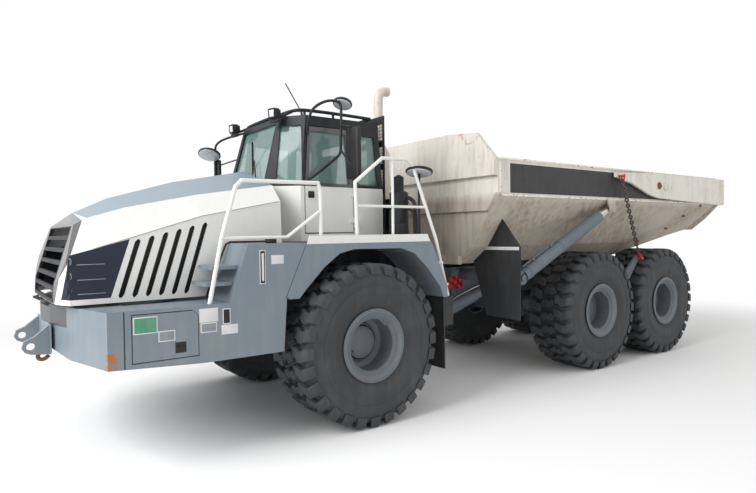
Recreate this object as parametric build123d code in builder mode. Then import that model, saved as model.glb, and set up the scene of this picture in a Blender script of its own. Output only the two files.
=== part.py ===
from build123d import *
from math import cos, pi, sin
import os

os.makedirs("parts", exist_ok=True)

# An articulated six-wheel dump truck. Millimetres: x forward, y to the truck's left, z up from the ground.

# Wheels and axles
tyre_radius = 925
tyre_width = 750
tyre_shoulder = 838
tread_half = 345
tread_root = 856
lug_count = 13
lug_foot_share = 0.64
lug_tip_share = 0.52
bead_radius = 330
rim_flange_radius = 418
wheel_track = 2660
front_axle_x = 2700
mid_axle_x = -1733
rear_axle_x = -3708
axle_height = tyre_radius
hub_radius = 200
hub_clearance = 0.5
seat_gap = 0.3
hub_end = 75
axle_tube_radius = 150
differential_radius = 300

# Main frames and the hitch between them
frame_half = 430
rail_width = 110
front_rail_bottom = 1130
front_rail_top = 1500
rear_rail_bottom = 1180
rear_rail_top = 1600
hitch_x = 1496
hitch_height = 1150
trunnion_radius = 180
trunnion_clearance = 0.4
hitch_pin_radius = 55
hitch_pin_clearance = 0.4
ear_thickness = 80
ear_gap = 5

# Front bumper and its boxes
side_face = 1550
bumper_bottom = 980
bumper_top = 1530
bumper_front_x = 5760
bumper_corner_x = 5440
bumper_rear_x = 3720
bumper_back_x = 5200
bumper_inner = 1090
lug_tip_x = 5980
lug_spacing = 850
lug_height = 1130
lug_hole_radius = 38
lug_thickness = 60

# Hood and its lamps
hood_bottom = 1560
hood_rear_x = 3500
hood_nose_x = 5790
hood_wall = 25
hood_half = 1050
top_panel_half = 800
grille_half = 750
panel_gap = 0.3
hood_hinge_x = 5790
hood_hinge_z = 1545
hood_knuckle_y = 330
hood_knuckle_width = 30
hood_pin_radius = 13

# Deck, fenders and tanks
deck_clearance = 230
deck_height = 2 * tyre_radius + deck_clearance
fender_rear_x = 1714
fender_inner = 910
tank_inner = 1062

# Cab
cab_floor = 2100
cab_waist = 2760
cab_roof = 3620
cab_half = 860
cab_rear_x = 1950
cab_wall = 50
glass_inset = 22
glass_thickness = 8
glass_clearance = 0.3
door_front_x = 3110
door_rear_x = 2400
door_bottom = 2190
door_top = 3500
door_gap = 14
door_hinge_y = 875
door_hinge_radius = 13
door_hinge_heights = (2320, 2640)

# Dump body
body_front_x = 560
body_tail_x = -5878
tail_start_x = -3500
floor_half = 750
rest_pad_height = 120
floor_height = rear_rail_top + rest_pad_height
knuckle_half = 1070
knuckle_height = floor_height + 250
tail_bend_x = -5300
tail_rise = 380
rail_bottom = 2680
rail_top = 3190
body_half = 1600
plate_thickness = 20
rail_width_at_top = 120
guard_x = 600
guard_top = 3610
guard_flange = 40
dump_pivot_x = -4350
dump_pivot_z = 1500
dump_pin_radius = 60
dump_pin_clearance = 0.4

# Tailgate, its arms and chains
gate_pivot_x = -3716
gate_pivot_z = 2938
arm_tip_x = -2235
arm_tip_z = 3083
gate_rear_x = -5980
gate_face_x = body_tail_x - 24
hoist_y = body_half - 35
hoist_rod_radius = 60
arm_clearance = 7
arm_thickness = 45
arm_inner = hoist_y + hoist_rod_radius + arm_clearance
arm_outer = arm_inner + arm_thickness
gate_pin_radius = 60
chain_foot_x = -3063
chain_foot_z = 1700
chain_width = 56
chain_foot_y = body_half - 40
chain_top_y = arm_outer + chain_width / 2 + 15
link_count = 9
link_width = 84
link_bar = 24
shackle_radius = 30

# Hoist cylinders
hoist_foot_x = 80
hoist_foot_z = 1535
hoist_top_x = -2117
hoist_top_z = 2545
hoist_barrel_radius = 95
hoist_stage_radius = 78
cylinder_clearance = 0.5
hoist_pin_radius = 45
hoist_ear_gap = 66
hoist_eye_half = 34

# Steering cylinders
steer_y = 620
steer_front_x = 1396
steer_front_z = 820
steer_rear_x = -400
steer_rear_z = 1330
steer_barrel_radius = 75
steer_rod_radius = 42
steer_rod_start = 600
steer_pin_radius = 26
steer_collar_radius = 31.5
steer_eye_clearance = 0.5
steer_eye_half = 40
steer_bracket_gap = 95

pipe_radius = 21
sides = (("left", 1), ("right", -1))


def side_plate(outline, low_y, high_y):
    # A plate whose outline is in x and z, standing between two values of y
    with BuildPart() as plate:
        with BuildSketch(Plane.XZ.offset(-high_y)):
            with BuildLine():
                Polyline(*outline, close=True)
            make_face()
        extrude(amount=high_y - low_y)
    return plate.part


def cross_plate(outline, low_x, high_x):
    # A plate whose outline is in y and z, between two values of x
    with BuildPart() as plate:
        with BuildSketch(Plane.YZ.offset(low_x)):
            with BuildLine():
                Polyline(*outline, close=True)
            make_face()
        extrude(amount=high_x - low_x)
    return plate.part


def deck_plate(outline, low_z, high_z):
    # A plate whose outline is in x and y, between two heights
    with BuildPart() as plate:
        with BuildSketch(Plane.XY.offset(low_z)):
            with BuildLine():
                Polyline(*outline, close=True)
            make_face()
        extrude(amount=high_z - low_z)
    return plate.part


def block(x0, x1, y0, y1, z0, z1):
    with BuildPart() as piece:
        with Locations(((x0 + x1) / 2, (y0 + y1) / 2, (z0 + z1) / 2)):
            Box(abs(x1 - x0), abs(y1 - y0), abs(z1 - z0))
    return piece.part


def rod(start, end, radius):
    # A round bar from one point to another
    begin, finish = Vector(*start), Vector(*end)
    with BuildPart() as piece:
        with BuildSketch(Plane(origin=begin, z_dir=finish - begin)):
            Circle(radius)
        extrude(amount=(finish - begin).length)
    return piece.part


def pipe(points, radius):
    # A round tube along straight runs with mitred corners
    with BuildPart() as piece:
        with BuildLine() as path:
            Polyline(*points)
        with BuildSketch(Plane(origin=path.line @ 0, z_dir=path.line % 0)):
            Circle(radius)
        sweep(transition=Transition.RIGHT)
    return piece.part


def both_sides(part):
    # A piece and its mirror image across the truck's centre plane
    with BuildPart() as pair:
        add(part)
        mirror(about=Plane.XZ)
    return pair.part


def shrink(outline, amount):
    # The same outline moved inwards by an amount
    with BuildSketch() as smaller:
        with BuildLine():
            Polyline(*outline, close=True)
        make_face()
        offset(amount=-amount, kind=Kind.INTERSECTION)
    corners = smaller.sketch.face().outer_wire().order_edges()
    return [((edge @ 0).X, (edge @ 0).Y) for edge in corners]


def save(part, name):
    part.label = name
    export_step(part, f"parts/{name}.step")


# Front frame: two rails with cross members, and the bearing housing of the hitch at its rear end
front_rail_end = bumper_back_x - seat_gap
front_rail = [(front_rail_end, 1180), (front_rail_end, 1400), (4300, front_rail_top), (2050, front_rail_top), (2050, 900),
              (2350, front_rail_bottom), (4300, front_rail_bottom)]
with BuildPart() as front_frame:
    add(both_sides(side_plate(front_rail, frame_half - rail_width, frame_half)))
    for x0, x1, z0, z1 in ((5060, front_rail_end, 1200, 1380), (4250, 4330, 1150, 1480), (2050, 2200, 900, 1500)):
        add(block(x0, x1, -frame_half + 5, frame_half - 5, z0, z1))
    add(rod((2200, 0, hitch_height), (1880, 0, hitch_height), 270))
    with Locations(Plane(origin=(2000, 0, hitch_height), z_dir=(1, 0, 0))):
        Cylinder(trunnion_radius + trunnion_clearance, 900, mode=Mode.SUBTRACT)
save(front_frame.part, "front_frame")

# Front bumper: a swept nose with a box section down each side, and the toolbox lids let into them
bumper_half_plan = [(bumper_rear_x, bumper_inner), (bumper_rear_x, side_face), (bumper_corner_x, side_face),
                    (5620, 900), (bumper_front_x - 30, 400), (bumper_front_x, 0), (bumper_back_x, 0),
                    (bumper_back_x, bumper_inner)]
lid_outline = [(4647, 1060), (5240, 1060), (5240, 1490), (4700, 1490), (4647, 1440)]
with BuildPart() as front_bumper:
    add(both_sides(deck_plate(bumper_half_plan, bumper_bottom, bumper_top)))
    add(both_sides(side_plate([(bumper_rear_x - 1, bumper_bottom - 1), (bumper_rear_x + 40, bumper_bottom - 1),
                               (bumper_rear_x - 1, bumper_top + 1)], bumper_inner - 5, side_face + 5)),
        mode=Mode.SUBTRACT)
    # The underside rises forwards, and again to the middle between the tow lugs
    add(side_plate([(4600, bumper_bottom - 1), (5900, bumper_bottom - 1), (5900, bumper_bottom + 70)],
                   -side_face - 5, side_face + 5), mode=Mode.SUBTRACT)
    add(cross_plate([(-1250, bumper_bottom - 1), (1250, bumper_bottom - 1), (420, bumper_bottom + 115),
                     (-420, bumper_bottom + 115)], 5150, 5850), mode=Mode.SUBTRACT)
    for side, sign in sides:
        low, high = sorted((sign * (side_face - 6), sign * (side_face + 10)))
        add(side_plate(lid_outline, low, high), mode=Mode.SUBTRACT)
    knuckle = [(5690, 1525), (5735, 1500), (5803, 1538), (5803, 1552), (5785, 1556), (5690, 1532)]
    knuckle_start = Vector(hood_hinge_x, hood_knuckle_y - hood_knuckle_width, hood_hinge_z)
    knuckle_end = Vector(hood_hinge_x, hood_knuckle_y - seat_gap, hood_hinge_z)
    add(both_sides(side_plate(knuckle, knuckle_start.Y, knuckle_end.Y)))
    add(both_sides(rod(knuckle_start, knuckle_end, hood_pin_radius)))
save(front_bumper.part, "front_bumper")

with BuildPart() as toolbox_lids:
    lid_inner = [(4652, 1065), (5235, 1065), (5235, 1485), (4702, 1485), (4652, 1438)]
    add(both_sides(side_plate(lid_inner, side_face - 6, side_face + 4)))
save(toolbox_lids.part, "toolbox_lids")

# Tow lugs: two ears with pin holes, and the hook between them
lug_outline = [(5735, 1040), (5900, 1055), (lug_tip_x - 25, 1080), (lug_tip_x, 1120), (lug_tip_x - 20, 1185),
               (5880, 1220), (5745, 1330)]
with BuildPart() as tow_lugs:
    for lug_y in (-lug_spacing / 2, lug_spacing / 2):
        add(side_plate(lug_outline, lug_y - lug_thickness / 2, lug_y + lug_thickness / 2))
    add(block(5735, 5745, -520, 520, 1060, 1340))
    add(front_bumper.part, mode=Mode.SUBTRACT)
    with Locations(Plane(origin=(5905, 0, lug_height), z_dir=(0, 1, 0))):
        Cylinder(lug_hole_radius, 1200, mode=Mode.SUBTRACT)
save(tow_lugs.part, "tow_lugs")

# Hood: sections across the truck at stations along it, given as x, crease, panel edge and centre heights
hood_stations = ((3500, 2560, 2757, 2990), (4400, 2388, 2618, 2816), (5110, 2170, 2472, 2608),
                 (5440, 2070, 2370, 2450), (5850, 1930, 2150, 2200))


def hood_solid(inset):
    with BuildPart() as solid:
        for x, crease, edge, centre in hood_stations:
            with BuildSketch(Plane.YZ.offset(x)):
                with BuildLine():
                    half = [(0, hood_bottom), (hood_half - inset, hood_bottom), (hood_half - 50 - inset, crease - inset / 2),
                            (top_panel_half - inset / 2, edge - inset), (0, centre - inset)]
                    Polyline(*half, close=True)
                make_face()
                mirror(about=Plane.YZ)
        loft(ruled=True)
        nose = [(3000, hood_bottom - 1), (hood_nose_x - 40 - inset, hood_bottom - 1), (hood_nose_x - 60 - inset, 1750),
                (5560 - inset, 2320 - inset), (5440 - inset / 2, 2460 - inset), (5440 - inset, 3200), (3000, 3200)]
        add(side_plate(nose, -1200, 1200), mode=Mode.INTERSECT)
        plan = [(3000, 0), (3000, 1200), (5600, 1200), (5650 - inset, hood_half - 20 - inset), (5700 - inset, 930),
                (5740 - inset, grille_half), (5800 - inset, 300), (5810 - inset, 0)]
        add(both_sides(deck_plate(plan, 1400, 3300)), mode=Mode.INTERSECT)
    return solid.part


hood_outer = hood_solid(0)
hood_inner = hood_solid(hood_wall)
lamp_outline = [(5700, 1610), (5640, 2015), (5110, 2160), (5300, 1610)]
lamp_heights = (1686, 1823, 1960)
lamp_rib_heights = (1660, 1790, 1930)
lamp_radius = 48
lamp_crease = 2070
grille_outline = [(-grille_half, 1570), (grille_half, 1570), (grille_half - 20, 2290), (-grille_half + 20, 2290)]
slot_count = 6
slot_width = 54
slot_foot = (5206, 1626)
slot_head = (5038, 2131)
slot_foot_pitch = 124
slot_head_pitch = 133.6
slot_head_rise = 32.6

with BuildPart() as hood_skin:
    add(hood_outer)
    add(hood_inner, mode=Mode.SUBTRACT)

with BuildPart() as hood_shell:
    add(hood_skin.part)
    add(block(3400, 5450, -top_panel_half, top_panel_half, 2000, 3200), mode=Mode.SUBTRACT)
    add(cross_plate(grille_outline, 5480, 5900), mode=Mode.SUBTRACT)
    add(both_sides(side_plate(lamp_outline, 900, 1200)), mode=Mode.SUBTRACT)
    # Cooling slots lean back towards the cab, the tops falling with the crease line
    for i in range(slot_count):
        foot = Vector(slot_foot[0] - i * slot_foot_pitch, 0, slot_foot[1])
        head = Vector(slot_head[0] - i * slot_head_pitch, 0, slot_head[1] + i * slot_head_rise)
        along = (head - foot).normalized() * slot_width / 2
        across = Vector(slot_width / 2, 0, 0)
        corners = [foot - across, foot - along - across * 0.4, foot - along + across * 0.4, foot + across,
                   head + across, head + along + across * 0.4, head + along - across * 0.4, head - across]
        for low in (900, -1200):
            add(side_plate([(corner.X, corner.Z) for corner in corners], low, low + 300), mode=Mode.SUBTRACT)
    knuckle = [(5728, 1568), (5750, 1568), (5803, 1552), (5803, 1538), (5782, 1535), (5728, 1556)]
    knuckle_start = Vector(hood_hinge_x, hood_knuckle_y, hood_hinge_z)
    knuckle_end = Vector(hood_hinge_x, hood_knuckle_y + hood_knuckle_width, hood_hinge_z)
    add(both_sides(side_plate(knuckle, knuckle_start.Y, knuckle_end.Y)))
    add(both_sides(rod(knuckle_start, knuckle_end, hood_pin_radius)))
save(hood_shell.part, "hood_shell")

with BuildPart() as hood_top:
    add(hood_skin.part)
    add(block(hood_rear_x, 5450 - panel_gap, -top_panel_half + panel_gap, top_panel_half - panel_gap, 2000, 3200),
        mode=Mode.INTERSECT)
save(hood_top.part, "hood_top")

with BuildPart() as grille:
    add(hood_skin.part)
    frame_outline = shrink(grille_outline, panel_gap)
    add(cross_plate(frame_outline, 5480, 5900), mode=Mode.INTERSECT)
    slat_count = 6
    grille_bottom = grille_outline[0][1]
    slat_pitch = (grille_outline[2][1] - grille_bottom) / slat_count
    for i in range(slat_count):
        z = grille_bottom + slat_pitch * i
        add(block(5480, 5900, -grille_half + 60, grille_half - 60, z + 30, z + slat_pitch - 10), mode=Mode.SUBTRACT)
save(grille.part, "grille")

with BuildPart() as headlamps:
    add(hood_skin.part)
    facing = Vector(0.894, 0.447, 0)
    for z in lamp_heights:
        lens = Vector(5675, 980, z)
        add(both_sides(rod(lens - facing * 15, lens + facing * 5, lamp_radius)))
    for z in lamp_rib_heights:
        skin_y = hood_half - 50 * (z - hood_bottom) / (lamp_crease - hood_bottom)
        add(both_sides(block(5350, 5590, skin_y - 12, skin_y + 4, z - 6, z + 6)))
    add(both_sides(side_plate(shrink(lamp_outline, panel_gap), 900, 1200)), mode=Mode.INTERSECT)
save(headlamps.part, "headlamps")

# Engine and radiator under the hood
with BuildPart() as engine_block:
    add(block(3620, 4900, -310, 310, 1510, 2230))
    add(block(3800, 4700, -200, 200, 2230, 2420))
    add(both_sides(block(3700, 3820, 300, frame_half, front_rail_top + seat_gap, 1600)))
save(engine_block.part, "engine_block")
with BuildPart() as radiator:
    add(block(5190, 5290, -700, 700, bumper_top + seat_gap, 2230))
save(radiator.part, "radiator")

# Fenders with their decks: the outline of the arch comes in x and z
arch_foot = 1510
arch_rise = deck_height - 69 - arch_foot
arch_shares = ((3574, 0), (3506, 0.15), (3265, 0.63), (3065, 0.915), (2876, 1), (2195, 0.99), (1998, 0.86), (1793, 0.5),
               (1580, 0))
arch = [(x, arch_foot + share * arch_rise) for x, share in arch_shares]
flap_hanger = [(1524, 1373), (1460, 1370), (1462, 1519), (fender_rear_x, deck_height - 11)]
with BuildPart() as fenders:
    fender_outline = arch + flap_hanger + [(1730, deck_height), (3480, deck_height), (3720, 1540), (3690, 1512)]
    add(both_sides(side_plate(fender_outline, fender_inner, side_face)))
    add(block(3485, 3800, -tank_inner, tank_inner, 1500, deck_height + 120), mode=Mode.SUBTRACT)
save(fenders.part, "fenders")

# Tanks between the hood and the fenders, left and right
with BuildPart() as side_tanks:
    tank_bottom = bumper_top + seat_gap
    tank_top = deck_height + 16
    tank_outline = [(3486, deck_height), (3732, tank_bottom), (4326, tank_bottom), (4136, tank_top), (3486, tank_top)]
    add(both_sides(side_plate(tank_outline, tank_inner, side_face)))
save(side_tanks.part, "side_tanks")

# Fold-out steps in front of each tank
with BuildPart() as steps:
    for x, z, y0, y1 in ((4360, 1850, 1062, 1465), (4430, bumper_top + 160, 1062, 1465)):
        add(both_sides(block(x - 160, x + 110, y0, y1, z, z + 35)))
    add(side_tanks.part, mode=Mode.SUBTRACT)
save(steps.part, "steps")

# Front mudflaps and the plates that hold them
flap_top = 1370 - seat_gap
with BuildPart() as front_mudflaps:
    add(both_sides(block(1462, 1482, 960, 1500, 450, flap_top)))
    add(both_sides(block(1330, 1500, 1500, 1515, 1000, flap_top)))
save(front_mudflaps.part, "front_mudflaps")

# Cab: a ring at the waist and one at the roof, as x and half width
waist_ring = ((3480, 580), (3160, cab_half), (cab_rear_x, cab_half))
roof_ring = ((3250, 530), (3040, 790), (cab_rear_x + 30, 800))


def ring_outline(ring, inset):
    front, corner, rear = ring
    half = [(front[0] - inset, front[1] - inset * 0.4), (corner[0] - inset * 0.4, corner[1] - inset),
            (rear[0] + inset, rear[1] - inset)]
    return half + [(x, -y) for x, y in reversed(half)]


def cab_solid(inset):
    with BuildPart() as solid:
        with BuildSketch(Plane.XY.offset(cab_floor + inset)):
            with BuildLine():
                Polyline(*ring_outline(waist_ring, inset), close=True)
            make_face()
        extrude(amount=cab_waist - cab_floor - inset)
        with BuildSketch(Plane.XY.offset(cab_waist)):
            with BuildLine():
                Polyline(*ring_outline(waist_ring, inset), close=True)
            make_face()
        with BuildSketch(Plane.XY.offset(cab_roof - inset)):
            with BuildLine():
                Polyline(*ring_outline(roof_ring, inset), close=True)
            make_face()
        loft(ruled=True)
    return solid.part


cab_outer = cab_solid(0)
cab_hollow = cab_solid(cab_wall)
with BuildPart() as cab_skin:
    add(cab_outer)
    add(cab_hollow, mode=Mode.SUBTRACT)
with BuildPart() as glass_skin:
    add(cab_solid(glass_inset))
    add(cab_solid(glass_inset + glass_thickness), mode=Mode.SUBTRACT)

door_outline = [(door_rear_x, door_bottom), (door_front_x, door_bottom), (door_front_x, cab_waist),
                (3030, door_top), (door_rear_x + 40, door_top), (door_rear_x, cab_waist)]


door_window = [(2470, 2800), (3040, 2800), (2990, 3430), (2490, 3430)]
side_windows = {"left": [[(2030, 2800), (2330, 2800), (2330, 3430), (2050, 3430)]],
                "right": [[(2030, 2800), (2330, 2800), (2330, 3430), (2050, 3430)],
                          [(2440, 2700), (3060, 2700), (2990, 3430), (2450, 3430)]]}
windscreen = [(-500, 2810), (500, 2810), (465, 3540), (-465, 3540)]
rear_window = [(-620, 2780), (620, 2780), (600, 3440), (-600, 3440)]
quarter_window = [(-170, 2810), (150, 2810), (125, 3500), (-140, 3500)]


def window_cuts(inset):
    # Every fixed window's prism, made smaller by an inset
    with BuildPart() as cuts:
        for side, sign in sides:
            for outline in side_windows[side]:
                low, high = sorted((sign * 600, sign * 1000))
                add(side_plate(shrink(outline, inset) if inset else outline, low, high))
            middle = Vector((3480 + 3160) / 2 - 80, sign * (580 + cab_half) / 2, 0)
            facing = Vector(cab_half - 580, sign * 320, 0).normalized()
            with BuildSketch(Plane(origin=middle - facing * 200, x_dir=(0, 0, 1), z_dir=facing)):
                with BuildLine():
                    Polyline(*[(z, u) for u, z in (shrink(quarter_window, inset) if inset else quarter_window)], close=True)
                make_face()
            extrude(amount=400)
        add(cross_plate(shrink(windscreen, inset) if inset else windscreen, 3100, 3600))
        add(cross_plate(shrink(rear_window, inset) if inset else rear_window, 1850, 2100))
    return cuts.part


with BuildPart() as cab_cut:
    add(cab_skin.part)
    add(window_cuts(0), mode=Mode.SUBTRACT)
    add(side_plate(door_outline, 600, 1000), mode=Mode.SUBTRACT)
    for z in door_hinge_heights:
        add(rod((door_rear_x, door_hinge_y, z - 60), (door_rear_x, door_hinge_y, z - seat_gap), door_hinge_radius))
        add(block(door_rear_x - 50, door_rear_x, cab_half - 3, door_hinge_y, z - 55, z - 5))
# The lower panels and the frame of pillars and roof are two pieces that meet under the windows
for name, low, high in (("cab_shell", cab_floor - 100, cab_waist), ("cab_frame", cab_waist, cab_roof + 100)):
    with BuildPart() as cab_piece:
        add(cab_cut.part)
        add(block(1900, 3700, -cab_half - 200, cab_half + 200, low, high), mode=Mode.INTERSECT)
    save(cab_piece.part, name)

with BuildPart() as cab_glass:
    add(glass_skin.part)
    add(window_cuts(glass_clearance), mode=Mode.INTERSECT)
save(cab_glass.part, "cab_glass")

with BuildPart() as cab_door:
    add(cab_skin.part)
    add(side_plate(shrink(door_outline, door_gap), 600, 1000), mode=Mode.INTERSECT)
    add(side_plate(door_window, 600, 1000), mode=Mode.SUBTRACT)
    for z in door_hinge_heights:
        add(rod((door_rear_x, door_hinge_y, z), (door_rear_x, door_hinge_y, z + 60), door_hinge_radius))
        add(block(door_rear_x, door_rear_x + 60, cab_half - 3, door_hinge_y, z + 5, z + 55))
save(cab_door.part, "cab_door")

with BuildPart() as door_glass:
    add(glass_skin.part)
    add(side_plate(shrink(door_window, glass_clearance), 600, 1000), mode=Mode.INTERSECT)
save(door_glass.part, "door_glass")

# Driver's seat, dashboard and steering wheel
seat_x = 2560
with BuildPart() as seat:
    add(block(seat_x - 230, seat_x + 270, -250, 250, cab_floor + cab_wall, cab_floor + cab_wall + 180))
    add(block(seat_x - 240, seat_x + 280, -270, 270, cab_floor + cab_wall + 180, cab_floor + cab_wall + 340))
    add(side_plate([(seat_x - 240, 2440), (seat_x - 90, 2440), (seat_x - 190, 3240), (seat_x - 320, 3240)], -250, 250))
save(seat.part, "seat")
with BuildPart() as dashboard:
    add(side_plate([(3160, cab_floor + cab_wall), (3390, cab_floor + cab_wall), (3390, 2720), (3240, 2760), (3120, 2700)],
                   -420, 420))
    add(rod((3140, 0, 2700), (3000, 0, 2840), 32))
    with Locations(Plane(origin=(3000, 0, 2840), z_dir=(-140, 0, 140))):
        Cylinder(222, 30)
        Cylinder(190, 30, mode=Mode.SUBTRACT)
        Cylinder(60, 30)
        Box(400, 30, 16)
save(dashboard.part, "dashboard")

# Roof rail with its lamps
roof_loop = [(2050, 740, cab_roof + 60), (3120, 740, cab_roof + 60), (3120, -740, cab_roof + 60),
             (2050, -740, cab_roof + 60)]
with BuildPart() as roof_rack:
    add(pipe(roof_loop, pipe_radius))
    for x, y in ((2150, 740), (3120, 700), (2150, -740), (3120, -700)):
        add(rod((x, y, cab_roof - 1), (x, y, cab_roof + 60), 18))
    for y in (610, -610):
        add(rod((3120, y, cab_roof + 60), (3170, y, cab_roof + 140), 18))
        add(rod((3150, y, cab_roof + 150), (3230, y, cab_roof + 140), 75))
    add(cab_outer, mode=Mode.SUBTRACT)
save(roof_rack.part, "roof_rack")

# Handrails of the walkways: x and z of each corner at the side face
rail_y = 1500
front_rail_line = [(4522, 1512), (4388, 2158), (4237, 2661), (4173, 2726), (3302, 2735), (3271, 2653), (3272, deck_height)]
rear_rail_line = [(2793, deck_height), (2817, 2765), (2432, 3061), (2062, 3069), (1972, 3010), (1605, 2110), (1408, 1380)]
with BuildPart() as handrails:
    for sign in (1, -1):
        for line in (front_rail_line, rear_rail_line):
            add(pipe([(x, sign * rail_y, z) for x, z in line], pipe_radius))
        add(rod((2282, sign * rail_y, deck_height), (2282, sign * rail_y, 3065), pipe_radius * 0.8))
        add(pipe([(4388, sign * rail_y, 2158), (3680, sign * rail_y, 2158), (3273, sign * rail_y, 2440)], pipe_radius * 0.8))
        add(rod((2805, sign * rail_y, 2500), (1770, sign * rail_y, 2500), pipe_radius * 0.8))
        for x, z in ((1405, 1510), (1490, 1790)):
            low, high = sorted((sign * (rail_y - 10), sign * (rail_y + 10)))
            add(block(x, x + 90, low, high, z, z + 30))
        low, high = sorted((sign * (side_face - 14), sign * (side_face - 2)))
        add(side_plate([(1740, deck_height), (3470, deck_height), (3440, 2170), (1780, 2170)], low, high))
        add(side_plate([(1740, deck_height), (3470, deck_height), (3470, deck_height + 12), (1740, deck_height + 12)],
                       min(sign * 1480, high), max(sign * 1480, high)))
    add(fenders.part, mode=Mode.SUBTRACT)
    add(front_bumper.part, mode=Mode.SUBTRACT)
save(handrails.part, "handrails")

# Mirrors on the cab's front corners
with BuildPart() as mirrors:
    for sign in (1, -1):
        add(pipe([(3180, sign * 640, cab_roof + 20), (3330, sign * 1250, 3560), (3330, sign * 1420, 3500),
                  (3330, sign * 1420, 2850)], 16))
        low, high = sorted((sign * 1330, sign * 1530))
        add(block(3275, 3308, low, high, 2950, 3400))
        add(block(3305, 3320, sign * 1400, sign * 1440, 3100, 3300))
        add(rod((3100, sign * 765, 3300), (3330, sign * 1420, 3200), 10))
    add(cab_outer, mode=Mode.SUBTRACT)
save(mirrors.part, "mirrors")

# Exhaust stack, air cleaner and the perforated screen behind the cab
stack_x = 1700
stack_y = 450
with BuildPart() as exhaust:
    add(rod((stack_x, stack_y, 2240), (stack_x, stack_y, 3300), 150))
    add(rod((stack_x, stack_y, 3300), (stack_x, stack_y, 3420), 80))
    add(pipe([(stack_x, stack_y, 3420), (stack_x, stack_y, 4040), (stack_x - 150, stack_y, 4180)], 62))
save(exhaust.part, "exhaust")
with BuildPart() as rear_deck:
    add(block(1560, 1945, -900, 900, 2180, 2240))
    add(block(1640, 1900, -850, 850, 1620, 2180))
    add(both_sides(block(1880, 2150, frame_half - rail_width, frame_half, front_rail_top + seat_gap, 1660)))
    add(block(1905, 1921, 150, 860, 2240, 3720))
    for z in (2500, 2800, 3100, 3400):
        add(block(1900, 1926, 180, 830, z, z + 220), mode=Mode.SUBTRACT)
    add(rod((1780, -500, 2240), (1780, -500, 2750), 170))
    add(rod((1700, 760, 2240), (1700, 760, 2640), 110))
save(rear_deck.part, "rear_deck")

# Cab mounts between the frame and the cab floor
with BuildPart() as cab_mounts:
    for x in (2260, 3150):
        for y in (-frame_half + 60, frame_half - 60):
            add(block(x - 90, x + 90, y - 50, y + 50, front_rail_top, cab_floor))
    add(both_sides(block(2300, 2420, frame_half - 55, fender_inner, 1620, 1700)))
    add(both_sides(block(2950, 3070, frame_half - 55, fender_inner, 1700, 1780)))
    for x in (2360, 3010):
        add(both_sides(block(x - 60, x + 60, frame_half - 100, frame_half - 20, front_rail_top, 1760)))
save(cab_mounts.part, "cab_mounts")


def drive_axle(x):
    # A banjo housing with its differential, tapering to the hubs
    with BuildPart() as axle:
        add(rod((x, -900, axle_height), (x, 900, axle_height), axle_tube_radius))
        with BuildSketch(Plane.XZ.offset(-210)):
            with Locations((x, axle_height)):
                Circle(differential_radius * 0.6)
        with BuildSketch(Plane.XZ):
            with Locations((x, axle_height)):
                Circle(differential_radius)
        with BuildSketch(Plane.XZ.offset(210)):
            with Locations((x, axle_height)):
                Circle(differential_radius * 0.6)
        loft(ruled=True)
        for sign in (1, -1):
            low, high = sorted((sign * 880, sign * (wheel_track / 2 - hub_end)))
            add(rod((x, low, axle_height), (x, high, axle_height), hub_radius - hub_clearance))
    return axle.part


save(drive_axle(front_axle_x), "front_axle")
with BuildPart() as front_suspension:
    for sign in (1, -1):
        add(rod((front_axle_x, sign * 560, axle_height + 145), (front_axle_x, sign * 560, 1640), 85))
        add(block(front_axle_x - 120, front_axle_x + 120, sign * 560 - 110, sign * 560 + 110, 1640, 1720))
        add(block(front_axle_x - 110, front_axle_x + 110, sign * (frame_half + 1), sign * 620, 1560, 1650))
        add(rod((front_axle_x + 100, sign * 300, axle_height), (3900, sign * 300, front_rail_bottom - 90), 70))
        add(block(3850, 3990, sign * 370, sign * 250, front_rail_bottom - 150, front_rail_bottom))
    add(drive_axle(front_axle_x), mode=Mode.SUBTRACT)
save(front_suspension.part, "front_suspension")

# Yoke: turns in the front frame about a lengthwise trunnion, and carries the upright hinge of the rear frame
yoke_top = 1480
yoke_bottom = 820
yoke_arm_outer = 555
steer_plate_top = 775
with BuildPart() as hitch_yoke:
    add(rod((1880 - ear_gap, 0, hitch_height), (2190, 0, hitch_height), trunnion_radius))
    add(block(1720, 1880 - ear_gap, -300, 300, yoke_bottom, yoke_top))
    for z0, z1 in ((yoke_top - ear_thickness, yoke_top), (yoke_bottom, yoke_bottom + ear_thickness)):
        add(deck_plate([(1730, -300), (1730, 300), (hitch_x, 150), (hitch_x, -150)], z0, z1))
        with Locations((hitch_x, 0, (z0 + z1) / 2)):
            Cylinder(150, ear_thickness)
    for sign in (1, -1):
        low, high = sorted((sign * 250, sign * yoke_arm_outer))
        add(block(1740, 1860, low, high, steer_plate_top - 30, 960))
    # Level plates that carry the eyes of the steering rods
    add(both_sides(deck_plate([(1860, 250), (1860, 600), (1460, 700), (1330, 690), (1320, 570), (1600, 330), (1740, 250)],
                              steer_plate_top - 30, steer_plate_top)))
    with Locations((hitch_x, 0, hitch_height)):
        Cylinder(hitch_pin_radius + hitch_pin_clearance, 900, mode=Mode.SUBTRACT)
save(hitch_yoke.part, "hitch_yoke")

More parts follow.
